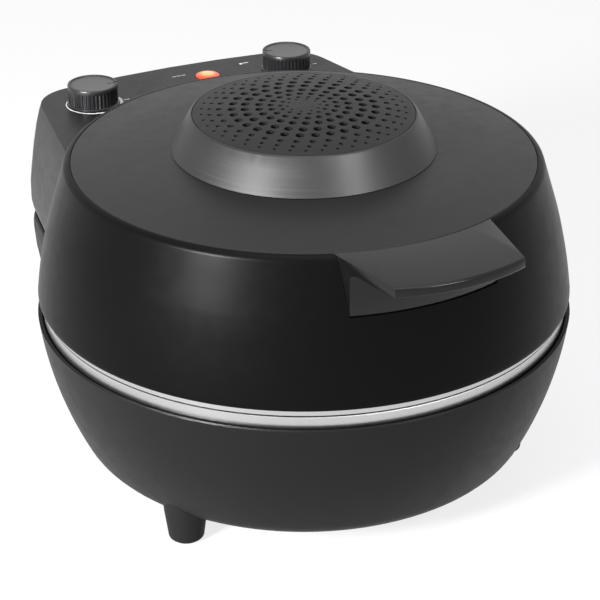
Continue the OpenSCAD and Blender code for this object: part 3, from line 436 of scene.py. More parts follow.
@dataclass(frozen=True)
class BakedStone:
    """Unglazed baking stone: sandy grains, pits and a warm, uneven body."""

    name: str
    body: Colour
    speck: Colour

    def material(self) -> Material:
        """Builds the material.

        Returns:
            The material.
        """
        sheet = NodeSheet(self.name)
        sand = sheet.node("TexVoronoi", feature="F1")
        sheet.feed(sand.inputs["Vector"], sheet.place)
        sand.inputs["Scale"].default_value = 900.0
        grains = sand.outputs["Distance"]
        clouds = sheet.noise(30.0, 4.0)
        specks = sheet.spread(sheet.noise(1.6, 2.0), 0.62, 0.7, 0.0, 0.8)
        warm = tuple(c * 0.86 for c in self.body)
        pale = sheet.tint(clouds, warm, self.body)
        mixed = sheet.node("Mix", data_type="RGBA")
        sheet.feed(mixed.inputs[0], specks)
        sheet.feed(mixed.inputs[6], pale)
        sheet.feed(mixed.inputs[7], sheet.tint(clouds, self.speck, tuple(c * 1.2 for c in self.speck)))
        sheet.set(
            base_color=mixed.outputs[2],
            roughness=sheet.spread(clouds, 0.3, 0.7, 0.84, 0.94),
            normal=sheet.bump(grains, 0.12, sheet.bump(specks, 0.08)),
        )
        return sheet.material


@dataclass(frozen=True)
class HeatStained:
    """Heater tube: dull metal, blued and browned along its length by heat."""

    name: str
    grey: Colour
    brown: Colour

    def material(self) -> Material:
        """Builds the material.

        Returns:
            The material.
        """
        sheet = NodeSheet(self.name)
        bands = sheet.noise(22.0, 3.0)
        scale = sheet.noise(0.8, 3.0)
        sheet.set(
            base_color=sheet.tint(sheet.spread(bands, 0.35, 0.65, 0.0, 1.0), self.grey, self.brown),
            metallic=0.6,
            roughness=sheet.spread(scale, 0.3, 0.7, 0.42, 0.62),
            normal=sheet.bump(scale, 0.02),
        )
        return sheet.material


@dataclass(frozen=True)
class LitLens:
    """Tinted lens with a lamp behind it: pale in the middle and deeper at the rim."""

    name: str
    middle: Colour
    rim: Colour
    centre: Vector
    radius_mm: float
    strength: float

    def material(self) -> Material:
        """Builds the material.

        Returns:
            The material.
        """
        sheet = NodeSheet(self.name)
        radius, _height, _way = sheet.round_coordinates(self.centre)
        cells = sheet.noise(2.4, 2.0)
        reach = sheet.maths("MULTIPLY_ADD", cells, 0.0016, radius)
        share = sheet.spread(reach, self.radius_mm * MM * 0.45, self.radius_mm * MM, 0.0, 1.0)
        glow = sheet.tint(share, self.middle, self.rim)
        sheet.set(
            base_color=sheet.tint(share, tuple(c * 0.6 for c in self.rim), tuple(c * 0.5 for c in self.rim)),
            roughness=sheet.spread(cells, 0.3, 0.7, 0.08, 0.16),
            emission_color=glow,
            emission_strength=self.strength,
            normal=sheet.bump(cells, 0.05),
        )
        return sheet.material


@dataclass(frozen=True)
class PrintedInk:
    """Pad-printed mark: pale ink, slightly worn."""

    name: str
    colour: Colour

    def material(self) -> Material:
        """Builds the material.

        Returns:
            The material.
        """
        sheet = NodeSheet(self.name)
        wear = sheet.spread(sheet.noise(0.7, 3.0), 0.3, 0.62, 1.0, 0.0)
        sheet.set(
            base_color=sheet.tint(wear, self.colour, tuple(c * 0.72 for c in self.colour)),
            roughness=sheet.spread(wear, 0.0, 1.0, 0.5, 0.62),
        )
        return sheet.material


class Finishes:
    """All materials of the object, made once and shared."""

    def __init__(self) -> None:
        """Builds every material."""
        lens_low, lens_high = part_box("indicator_lens")
        lens = (lens_low + lens_high) / 2
        satin, fine, coarse, polished = Grain.SATIN, Grain.FINE, Grain.COARSE, Grain.POLISHED
        self.shell = Moulding("black_casing", (0.0015, 0.0015, 0.0016), 0.35, satin, ior=1.16).material()
        self.base = Moulding("black_base", (0.0055, 0.0055, 0.0057), 0.46, satin, ior=1.22).material()
        self.top = Moulding("charcoal_top", (0.008, 0.008, 0.0083), 0.4, fine, ior=1.31).material()
        self.cover = Moulding("matt_black_cover", (0.008, 0.008, 0.0084), 0.62, coarse, ior=1.22).material()
        self.gloss = Moulding("gloss_grip", (0.003, 0.003, 0.0032), 0.18, polished, 0.04, ior=1.34).material()
        self.knob = Moulding("black_knob", (0.009, 0.009, 0.01), 0.34, polished).material()
        self.grille = Moulding("satin_grille", (0.008, 0.008, 0.0083), 0.44, fine, ior=1.26).material()
        self.motor = Moulding("lacquered_motor", (0.12, 0.12, 0.125), 0.45, fine, metallic=0.6).material()
        self.fitting = Moulding("cream_fitting", (0.62, 0.58, 0.5), 0.5, fine, 0.06).material()
        self.fan = Moulding("black_fan", (0.012, 0.012, 0.012), 0.55, fine).material()
        self.rubber = Moulding("black_rubber", (0.02, 0.02, 0.02), 0.78, coarse).material()
        self.lamp = Moulding("frosted_lamp", (0.85, 0.74, 0.55), 0.3, fine, 0.05).material()
        self.knob_dish = RoundKnobFace("satin_knob_face", (0.1, 0.1, 0.1)).material()
        self.vent = RoundBrushed("dark_brushed_vent", (0.055, 0.055, 0.056), 0.36, 0.45).material()
        self.band = RoundBrushed("bright_brushed_band", (0.52, 0.52, 0.525), 0.3, 0.6).material()
        self.liner = RoundBrushed("spun_liner", (0.5, 0.5, 0.51), 0.38, 0.5, 0.5, 0.006).material()
        self.zinc = Pressed("bright_zinc", (0.56, 0.56, 0.58), 0.34, (0.4, 0.38, 0.34)).material()
        self.heater = HeatStained("heater_tube", (0.16, 0.15, 0.15), (0.1, 0.07, 0.05)).material()
        self.stone = BakedStone("baking_stone", (0.68, 0.56, 0.4), (0.3, 0.22, 0.15)).material()
        self.ink = PrintedInk("white_ink", (0.82, 0.82, 0.8)).material()
        self.grey_ink = PrintedInk("grey_ink", (0.3, 0.3, 0.3)).material()
        self.lens = LitLens("lit_lens", (1.0, 0.5, 0.2), (0.5, 0.045, 0.008), lens, 8.6, 1.15).material()


@dataclass(frozen=True)
class RoundKnobFace:
    """Satin face of a knob, mottled finely."""

    name: str
    colour: Colour

    def material(self) -> Material:
        """Builds the material.

        Returns:
            The material.
        """
        sheet = NodeSheet(self.name)
        fine = sheet.noise(0.3, 3.0, rough=0.7)
        broad = sheet.noise(9.0, 2.0)
        dark = tuple(c * 0.85 for c in self.colour)
        blend = sheet.maths("MULTIPLY_ADD", fine, 0.5, sheet.maths("MULTIPLY", broad, 0.5))
        sheet.set(
            base_color=sheet.tint(blend, dark, self.colour),
            metallic=0.5,
            roughness=sheet.spread(fine, 0.3, 0.7, 0.34, 0.46),
            normal=sheet.bump(fine, 0.008),
        )
        return sheet.material


class Workshop:
    """Turns bmeshes into finished pieces that ride on their bodies."""

    @staticmethod
    def piece(
        name: str,
        shape: Shape,
        body: Body,
        slot: str,
        materials: Sequence[Material],
        replaces: Iterable[str] = (),
        sharp_deg: float = 35.0,
    ) -> bpy.types.Object:
        """Makes a piece from a bmesh and frees it.

        Args:
            name: Name of the piece.
            shape: The bmesh, in metres in the shared frame.
            body: Body that it rides on.
            slot: Not used.
            materials: Its materials, in face index order.
            replaces: Nodes that it stands for.
            sharp_deg: Edges that turn further than this stay sharp.

        Returns:
            The new object.
        """
        limit = math.radians(sharp_deg)
        for face in shape.faces:
            face.smooth = True
        for edge in shape.edges:
            edge.smooth = len(edge.link_faces) == 2 and edge.calc_face_angle(math.pi) < limit
        mesh = bpy.data.meshes.new(name)
        shape.to_mesh(mesh)
        shape.free()
        for material in materials:
            mesh.materials.append(material)
        made = bpy.data.objects.new(name, mesh)
        bpy.context.scene.collection.objects.link(made)
        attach(made, body.value)
        if replaces:
            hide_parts(*replaces)
        LOG.info("%s: %d faces on %s", name, len(mesh.polygons), body.value)
        return made

    @staticmethod
    def merged(node: str) -> Shape:
        """Copies a node's mesh and joins its loose triangles.

        Args:
            node: Name of the node.

        Returns:
            The merged bmesh.
        """
        shape = bmesh.new()
        shape.from_mesh(frame["nodes"][node].data)
        bmesh.ops.remove_doubles(shape, verts=shape.verts, dist=0.002 * MM)
        bmesh.ops.dissolve_degenerate(shape, dist=0.001 * MM, edges=shape.edges)
        return shape

    @classmethod
    def skin(
        cls, node: str, slot: str, material: Material, sharp_deg: float = 35.0
    ) -> bpy.types.Object:
        """Makes a smooth skin of a node that stands for it.

        Args:
            node: Name of the node.
            slot: Slot of the record.
            material: Its material.
            sharp_deg: Edges that turn further than this stay sharp.

        Returns:
            The skin.
        """
        body = Body(frame["nodes"][node]["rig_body"])
        made = cls.piece("skin_" + node, cls.merged(node), body, slot, [material], [node], sharp_deg)
        weighted = made.modifiers.new("even_shading", "WEIGHTED_NORMAL")
        weighted.keep_sharp = True
        weighted.weight = 60
        return made

    @staticmethod
    def dress(material: Material, *nodes: str) -> None:
        """Gives nodes that stay visible their material.

        Args:
            material: The material.
            nodes: Names of the nodes.
        """
        for node in nodes:
            mesh = frame["nodes"][node].data
            mesh.materials.clear()
            mesh.materials.append(material)

    @staticmethod
    def loop(shape: Shape, count: int, radius: float, z: float, centre: Vector) -> Edges:
        """Starts a round form with one open ring.

        Args:
            shape: Bmesh that gets it.
            count: Number of points.
            radius: Radius in metres.
            z: Height in metres.
            centre: Point on its axis.

        Returns:
            The ring's edges.
        """
        where = Matrix.Translation((centre.x, centre.y, z))
        made = bmesh.ops.create_circle(shape, segments=count, radius=radius, matrix=where)
        return sorted({e for v in made["verts"] for e in v.link_edges}, key=lambda e: e.index)

    @staticmethod
    def grow(
        shape: Shape,
        ring: Sequence[bmesh.types.BMEdge],
        centre: Vector,
        z: float,
        radius: Callable[[float], float],
    ) -> Edges:
        """Extrudes a ring to a new height and radius.

        Args:
            shape: Bmesh that holds it.
            ring: Edges of the ring.
            centre: Point on its axis.
            z: New height in metres.
            radius: Radius in metres for each direction in radians.

        Returns:
            The new ring's edges.
        """
        made = bmesh.ops.extrude_edge_only(shape, edges=list(ring))["geom"]
        for vert in (g for g in made if isinstance(g, bmesh.types.BMVert)):
            turn = math.atan2(vert.co.y - centre.y, vert.co.x - centre.x)
            reach = radius(turn)
            vert.co = (centre.x + reach * math.cos(turn), centre.y + reach * math.sin(turn), z)
        return [g for g in made if isinstance(g, bmesh.types.BMEdge)]

    @staticmethod
    def spun(profile: Sequence[Point], centre: Vector, steps: int, closed: bool) -> Shape:
        """Spins a section into a full round form.

        Args:
            profile: Points as radius and height, in millimetres.
            centre: Point on the axis.
            steps: Number of steps round.
            closed: Whether the section's last point joins its first.

        Returns:
            The bmesh, with its normals pointing out.
        """
        shape = bmesh.new()
        verts = [shape.verts.new((centre.x, centre.y - r * MM, z * MM)) for r, z in profile]
        pairs = list(zip(verts, verts[1:] + verts[:1] if closed else verts[1:]))
        edges = [shape.edges.new(pair) for pair in pairs]
        bmesh.ops.spin(
            shape, geom=verts + edges, cent=centre, axis=(0, 0, 1), angle=math.tau, steps=steps,
            use_merge=True,
        )
        bmesh.ops.remove_doubles(shape, verts=shape.verts, dist=0.001 * MM)
        bmesh.ops.recalc_face_normals(shape, faces=shape.faces)
        return shape


@dataclass(frozen=True)
class Lamp:
    """Soft square lamp that looks at the object, placed round it as seen from the camera."""

    name: str
    turn_deg: float
    lift_deg: float
    distance_m: float
    size_m: float
    watts: float


@dataclass
class Studio:
    """Plain pale floor, soft lamps and the camera."""

    aim_mm: tuple[float, float, float] = (0.0, 0.0, 120.0)
    turn_deg: float = 27.0
    lift_deg: float = 27.228
    distance_mm: float = 1409.7
    lens_mm: float = 116.43
    shift_x: float = -0.0065
    floor_white: float = 0.86
    floor_glow: float = 0.8
    floor_half_m: float = 6.0
    sky_low: float = 0.12
    sky_high: float = 0.22
    lamp_aim_m: float = 0.13
    lamps: tuple[Lamp, ...] = (
        Lamp("overhead", 0.0, 84.0, 2.2, 2.0, 24.0),
        Lamp("left_front", -41.0, 21.0, 2.0, 0.35, 105.0),
        Lamp("right_front", 47.0, 38.0, 2.0, 0.5, 10.0),
    )

    def camera(self) -> None:
        """Sets the camera at the photograph's place."""
        aim = AXIS + Vector(self.aim_mm) * MM
        turn, lift = math.radians(self.turn_deg), math.radians(self.lift_deg)
        back = Vector((-math.sin(turn) * math.cos(lift), -math.cos(turn) * math.cos(lift), math.sin(lift)))
        data = bpy.data.cameras.new("camera")
        data.lens = self.lens_mm
        data.sensor_width = 36.0
        data.shift_x = self.shift_x
        data.clip_start, data.clip_end = 0.05, 50.0
        made = bpy.data.objects.new("camera", data)
        made.location = aim + back * self.distance_mm * MM
        made.rotation_mode = "QUATERNION"
        made.rotation_quaternion = (-back).to_track_quat("-Z", "Y")
        bpy.context.scene.collection.objects.link(made)
        bpy.context.scene.camera = made

    @staticmethod
    def shown_rays(tree: bpy.types.NodeTree) -> Socket:
        """Marks the rays that are to see the white background.

        Args:
            tree: Nodes of the world or of a material.

        Returns:
            1 for camera, glossy and transmission rays, 0 for the others.
        """
        path = tree.nodes.new("ShaderNodeLightPath")
        share = path.outputs["Is Camera Ray"]
        for ray in ("Is Glossy Ray", "Is Transmission Ray"):
            either = tree.nodes.new("ShaderNodeMath")
            either.operation = "MAXIMUM"
            tree.links.new(share, either.inputs[0])
            tree.links.new(path.outputs[ray], either.inputs[1])
            share = either.outputs[0]
        return share

    def world(self) -> None:
        """Makes a world that is white where it is seen and dimmer where it lights."""
        world = bpy.data.worlds.new("studio")
        bpy.context.scene.world = world
        world.use_nodes = True
        tree = world.node_tree
        tree.nodes.clear()
        new, link = tree.nodes.new, tree.links.new
        output, mixed = new("ShaderNodeOutputWorld"), new("ShaderNodeMixShader")
        seen, soft = new("ShaderNodeBackground"), new("ShaderNodeBackground")
        seen.inputs[0].default_value = (1, 1, 1, 1)
        seen.inputs[1].default_value = 1.0
        split = new("ShaderNodeSeparateXYZ")
        link(new("ShaderNodeTexCoord").outputs["Generated"], split.inputs[0])
        raised = new("ShaderNodeMapRange")
        raised.inputs[1].default_value = -1.0
        raised.inputs[2].default_value = 1.0
        link(split.outputs[2], raised.inputs[0])
        ramp = new("ShaderNodeValToRGB")
        horizon = ramp.color_ramp.elements.new(0.5)
        low, high = (self.sky_low,) * 3 + (1,), (self.sky_high,) * 3 + (1,)
        ramp.color_ramp.elements[0].color = low
        horizon.color = low
        ramp.color_ramp.elements[2].color = high
        link(raised.outputs[0], ramp.inputs[0])
        link(ramp.outputs[0], soft.inputs[0])
        link(self.shown_rays(tree), mixed.inputs[0])
        link(soft.outputs[0], mixed.inputs[1])
        link(seen.outputs[0], mixed.inputs[2])
        link(mixed.outputs[0], output.inputs[0])

    def floor(self) -> None:
        """Lays the floor: matt white that keeps a soft shadow."""
        shape = bmesh.new()
        bmesh.ops.create_grid(shape, x_segments=1, y_segments=1, size=self.floor_half_m)
        mesh = bpy.data.meshes.new("floor")
        shape.to_mesh(mesh)
        shape.free()
        made = bpy.data.objects.new("floor", mesh)
        bpy.context.scene.collection.objects.link(made)
        made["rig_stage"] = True
        material = bpy.data.materials.new("floor_white")
        material.use_nodes = True
        tree = material.node_tree
        tree.nodes.clear()
        new, link = tree.nodes.new, tree.links.new
        output, mixed = new("ShaderNodeOutputMaterial"), new("ShaderNodeMixShader")
        matt, glow = new("ShaderNodeBsdfPrincipled"), new("ShaderNodeEmission")
        matt.inputs["Base Color"].default_value = (self.floor_white,) * 3 + (1,)
        matt.inputs["Roughness"].default_value = 0.5
        matt.inputs["Specular IOR Level"].default_value = 0.3
        glow.inputs[0].default_value = (1, 1, 1, 1)
        share = new("ShaderNodeMath")
        share.operation = "MULTIPLY"
        link(self.shown_rays(tree), share.inputs[0])
        share.inputs[1].default_value = self.floor_glow
        link(share.outputs[0], mixed.inputs[0])
        link(matt.outputs[0], mixed.inputs[1])
        link(glow.outputs[0], mixed.inputs[2])
        link(mixed.outputs[0], output.inputs[0])
        mesh.materials.append(material)

    def hang(self, lamp: Lamp) -> None:
        """Hangs one lamp.

        Args:
            lamp: What is hung, and where.
        """
        data = bpy.data.lights.new(lamp.name, "AREA")
        data.shape = "SQUARE"
        data.size = lamp.size_m
        data.energy = lamp.watts
        made = bpy.data.objects.new(lamp.name, data)
        turn, lift = math.radians(lamp.turn_deg - self.turn_deg), math.radians(lamp.lift_deg)
        back = Vector((math.sin(turn) * math.cos(lift), -math.cos(turn) * math.cos(lift), math.sin(lift)))
        made.location = AXIS + Vector((0, 0, self.lamp_aim_m)) + back * lamp.distance_m
        made.rotation_mode = "QUATERNION"
        made.rotation_quaternion = (-back).to_track_quat("-Z", "Y")
        bpy.context.scene.collection.objects.link(made)

    def build(self) -> None:
        """Sets up the whole studio."""
        self.world()
        self.floor()
        for lamp in self.lamps:
            self.hang(lamp)
        self.camera()
        bpy.context.scene.view_settings.view_transform = "Standard"


@dataclass
class LowerCasing:
    """Bowl with its feet, seam band, pan, stone and lower heater."""

    finishes: Finishes
    feet: tuple[str, ...] = ("foot_left", "foot_right", "foot_rear")
    lip_in_mm: float = 188.7
    lip_out_mm: float = 190.6
    lip_deep_mm: float = 5.0
    lip_round_mm: float = 0.3
    lip_sunk_mm: float = 0.05
    lip_taper_mm: float = 0.4

    def add_lip(self) -> None:
        """Thickens the rim's lip inwards, so that it stands close to the lower band."""
        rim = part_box("base_shell")[1].z / MM
        top = rim - self.lip_sunk_mm
        outline = [
            (self.lip_out_mm, top),
            (self.lip_in_mm + self.lip_round_mm, top),
            (self.lip_in_mm, top - self.lip_round_mm),
            (self.lip_in_mm, rim - self.lip_deep_mm),
            (self.lip_out_mm - self.lip_taper_mm, rim - self.lip_deep_mm),
        ]
        shape = Workshop.spun(outline, AXIS, 144, True)
        Workshop.piece("rim_lip", shape, Body.BASE, "shell_black", [self.finishes.base])

    def build(self) -> None:
        """Makes smooth skins of the casing's curved nodes."""
        f = self.finishes
        self.add_lip()
        Workshop.skin("base_shell", "shell_black", f.base)
        Workshop.skin("base_trim_ring", "band_steel", f.band)
        Workshop.skin("base_liner", "liner_steel", f.liner)
        Workshop.skin("pizza_stone", "stone", f.stone, 25.0)
        Workshop.skin("lower_heater", "heater_tube", f.heater)
        Workshop.skin("rear_bracket", "shell_black", f.base, 28.0)
        Workshop.skin("cord_gland", "rubber_black", f.rubber)
        for foot in self.feet:
            Workshop.skin(foot, "cover_black", f.cover)

    def dress(self) -> None:
        """Gives the nodes that stay their materials."""
        f = self.finishes
        Workshop.dress(f.cover, "bottom_cover")
        Workshop.dress(
            f.zinc, "bottom_cover_screws", "base_rim_screws", "lower_heater_clips", "foot_screws",
            "hinge_pin_left", "hinge_pin_right",
        )
        Workshop.dress(f.fitting, "terminal_block")
        Workshop.dress(f.rubber, "foot_pads")


@dataclass
class LidDome:
    """Lid shell, top cover, vent, seam band, inner dome and upper heater."""

    finishes: Finishes

    def build(self) -> None:
        """Makes smooth skins of the lid's curved nodes."""
        f = self.finishes
        Workshop.skin("lid_shell", "shell_black", f.shell, 28.0)
        Workshop.skin("top_cover", "top_black", f.top, 28.0)
        Workshop.skin("vent_housing", "vent_metal", f.vent, 28.0)
        Workshop.skin("vent_grille", "grille_black", f.grille, 28.0)
        Workshop.skin("lid_trim_ring", "band_steel", f.band)
        Workshop.skin("lid_liner", "liner_steel", f.liner)
        Workshop.skin("upper_heater", "heater_tube", f.heater)
        Workshop.skin("fan_guard", "liner_steel", f.liner)

    def dress(self) -> None:
        """Gives the nodes that stay their materials."""
        f = self.finishes
        Workshop.dress(
            f.zinc, "top_cover_screws", "lid_rim_screws", "upper_heater_clips", "motor_bracket",
            "motor_screws", "handle_screws", "housing_screws",
        )
        Workshop.dress(f.motor, "fan_motor")
        Workshop.dress(f.fitting, "thermal_cutout")


@dataclass
class Grip:
    """Gloss handle: a flat grip with rounded edges over an upright face."""

    finishes: Finishes
    root_mm: float = 163.06
    block_mm: float = 164.3
    face_mm: float = 178.3
    reach_mm: float = 221.0
    low_mm: float = 198.1
    tab_mm: float = 230.8
    top_mm: float = 236.0
    drop_mm: float = 0.2
    thick_mm: float = 7.0
    bow_mm: float = 135.0
    root_corner_mm: Point = (57.5, -152.47)
    front_corner_mm: Point = (46.5, -212.74)
    steps: int = 28
    half_deg: float = 25.0
    top_round_mm: float = 2.4
    under_round_mm: float = 1.6
    hollow_round_mm: float = 6.0
    edge_round_mm: float = 0.7

    @staticmethod
    def arc(x: float, y: float, radius: float, first: float, last: float, steps: int) -> list[Point]:
        """Gives the points of an arc.

        Args:
            x: Centre, across.
            y: Centre, up.
            radius: Its radius.
            first: Direction of its first point in degrees.
            last: Direction of its last point in degrees.
            steps: Number of steps.

        Returns:
            The points, one more than the steps.
        """
        turns = (math.radians(first + (last - first) * step / steps) for step in range(steps + 1))
        return [(x + radius * math.cos(turn), y + radius * math.sin(turn)) for turn in turns]

    def section(self) -> list[Point]:
        """Gives the closed section on the middle plane.

        Returns:
            Points as radius and height, in millimetres.
        """
        front_top = self.top_mm - self.drop_mm
        front_low = front_top - self.thick_mm
        curl, under, hollow = self.top_round_mm, self.under_round_mm, self.hollow_round_mm
        return [
            (self.root_mm, self.tab_mm),
            (self.root_mm, self.top_mm - 0.5),
            (self.root_mm + 0.4, self.top_mm),
            *self.arc(self.reach_mm - curl, front_top - curl, curl, 90.0, 0.0, 5),
            *self.arc(self.reach_mm - under, front_low + under, under, 0.0, -90.0, 4),
            *self.arc(self.face_mm + hollow, front_low + 0.6 - hollow, hollow, 90.0, 180.0, 6),
            (self.face_mm, self.low_mm + 1.0),
            (self.face_mm - 0.5, self.low_mm + 0.2),
            (self.face_mm - 1.2, self.low_mm),
            (self.block_mm, self.low_mm),
            (self.block_mm, self.tab_mm),
        ]

    def front_reach(self, turn: float) -> float:
        """Gives the front edge's distance from the axis in one direction.

        Args:
            turn: Direction in radians from the front.

        Returns:
            The distance in millimetres.
        """
        centre = self.reach_mm - self.bow_mm
        return centre * math.cos(turn) + math.sqrt(self.bow_mm**2 - (centre * math.sin(turn)) ** 2)

    def build(self) -> None:
        """Spins the section, bows the front and cuts the slanted sides."""
        shape = bmesh.new()
        half = math.radians(self.half_deg)
        start = Matrix.Rotation(-half, 4, "Z")
        verts = [shape.verts.new(AXIS + start @ Vector((0, -r * MM, z * MM))) for r, z in self.section()]
        edges = [shape.edges.new(pair) for pair in zip(verts, verts[1:] + verts[:1])]
        bmesh.ops.spin(
            shape, geom=verts + edges, cent=AXIS, axis=(0, 0, 1), angle=2 * half, steps=self.steps,
            use_merge=False,
        )
        for vert in shape.verts:
            flat = Vector((vert.co.x - AXIS.x, vert.co.y - AXIS.y))
            reach, turn = flat.length / MM, math.atan2(flat.x, -flat.y)
            if reach > self.face_mm:
                share = (reach - self.face_mm) / (self.reach_mm - self.face_mm)
                moved = self.face_mm + share * (self.front_reach(turn) - self.face_mm)
                vert.co.x = AXIS.x + moved * MM * math.sin(turn)
                vert.co.y = AXIS.y - moved * MM * math.cos(turn)
        run = Vector(self.front_corner_mm) - Vector(self.root_corner_mm)
        for side in (-1, 1):
            out = Vector((-run.y * side, run.x, 0)).normalized()
            bmesh.ops.bisect_plane(
                shape,
                geom=shape.verts[:] + shape.edges[:] + shape.faces[:],
                plane_co=AXIS + Vector((self.root_corner_mm[0] * side, self.root_corner_mm[1], 0)) * MM,
                plane_no=out,
                clear_outer=True,
            )
        bmesh.ops.holes_fill(shape, edges=[e for e in shape.edges if e.is_boundary], sides=0)
        bmesh.ops.recalc_face_normals(shape, faces=shape.faces)
        caps = [f for f in shape.faces if len(f.verts) > 8]
        bmesh.ops.bevel(
            shape,
            geom=list({e for f in caps for e in f.edges}),
            offset=self.edge_round_mm * MM,
            offset_type="OFFSET",
            affect="EDGES",
            segments=3,
            profile=0.5,
            material=-1,
            clamp_overlap=True,
        )
        Workshop.piece("grip", shape, Body.LID, "handle_gloss", [self.finishes.gloss], ["handle"], 40.0)


@dataclass
class Knob:
    """Ribbed control knob with a dished satin face and a pointer notch."""

    finishes: Finishes
    node: str
    body: Body
    pointer_deg: float
    ribs: int = 40
    rib_depth_mm: float = 0.5
    rib_low_mm: float = 1.7
    rib_high_mm: float = 3.6
    grip_mm: float = 18.75
    flange_mm: float = 19.75
    lip_mm: float = 19.05
    dish_deep_mm: float = 1.5
    dish_rim_mm: float = 2.8
    notch_deep_mm: float = 2.4
    notch_face_mm: float = 1.4
    notch_from_mm: float = 11.0
    notch_half_deg: float = 2.4

    def build(self) -> None:
        """Grows the knob ring by ring from its foot to the middle of its face."""
        low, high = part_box(self.node)
        centre = Vector(((low.x + high.x) / 2, (low.y + high.y) / 2, 0))
        foot, top = low.z, high.z
        points = self.ribs * 4
        shape = bmesh.new()

        def plain(radius_mm: float) -> Callable[[float], float]:
            return lambda turn: radius_mm * MM

        def ribbed(turn: float) -> float:
            step = round((turn % math.tau) / math.tau * points) % 4
            return (self.grip_mm - (self.rib_depth_mm if step in (0, 1) else 0.0)) * MM

        below_lip = [(0.3, 0.0), (1.3, 0.0), (1.6, 0.4)]
        over_lip = [
            (3.4, 0.0), (0.9, 0.0), (0.35, 0.25), (0.05, 0.8), (0.0, 1.3), (0.1, 1.9), (0.9, 2.7),
            (1.0, 3.6), (1.2, 8.0), (1.35, self.lip_mm - 4.0),
        ]
        rings = [
            *((foot + up * MM, plain(self.flange_mm - inset)) for up, inset in below_lip),
            (foot + self.rib_low_mm * MM, ribbed),
            (top - self.rib_high_mm * MM, ribbed),
            *((top - down * MM, plain(self.lip_mm - inset)) for down, inset in over_lip),
        ]
        ring = Workshop.loop(shape, points, (self.flange_mm - 0.3) * MM, foot, centre)
        bottom = list(ring)
        for z, radius in rings:
            ring = Workshop.grow(shape, ring, centre, z, radius)
        bmesh.ops.holes_fill(shape, edges=ring, sides=0)
        bmesh.ops.holes_fill(shape, edges=bottom, sides=0)
        self.cut_pointer(shape, centre, top)
        bmesh.ops.recalc_face_normals(shape, faces=shape.faces)
        for face in shape.faces:
            middle = face.calc_center_median() - centre
            high = middle.z > top - self.dish_deep_mm * MM and face.normal.z > 0.5
            face.material_index = int(high and middle.xy.length < (self.lip_mm - self.dish_rim_mm) * MM)
        materials = [self.finishes.knob, self.finishes.knob_dish]
        Workshop.piece("dressed_" + self.node, shape, self.body, "knob_black", materials, [self.node], 30.0)

    def cut_pointer(self, shape: Shape, centre: Vector, top: float) -> None:
        """Sinks a narrow notch from the face into the lip.

        Args:
            shape: The knob's bmesh.
            centre: Point on its axis.
            top: Height of its top in metres.
        """
        aim = math.radians(self.pointer_deg)
        chosen = []
        for face in shape.faces:
            middle = face.calc_center_median() - centre
            turn = math.atan2(middle.y, middle.x) - aim
            off = abs((turn + math.pi) % math.tau - math.pi)
            outer = middle.z > top - self.notch_face_mm * MM and middle.xy.length > self.notch_from_mm * MM
            if outer and off < math.radians(self.notch_half_deg):
                chosen.append(face)
        made = bmesh.ops.extrude_face_region(shape, geom=chosen)["geom"]
        bmesh.ops.delete(shape, geom=chosen, context="FACES")
        for vert in (g for g in made if isinstance(g, bmesh.types.BMVert)):
            vert.co.z = top - self.notch_deep_mm * MM


@dataclass(frozen=True)
class Dash:
    """Printed dash: its middle from the round body's axis, its sizes and whether it is white."""

    x_mm: float
    y_mm: float
    length_mm: float
    width_mm: float
    white: bool


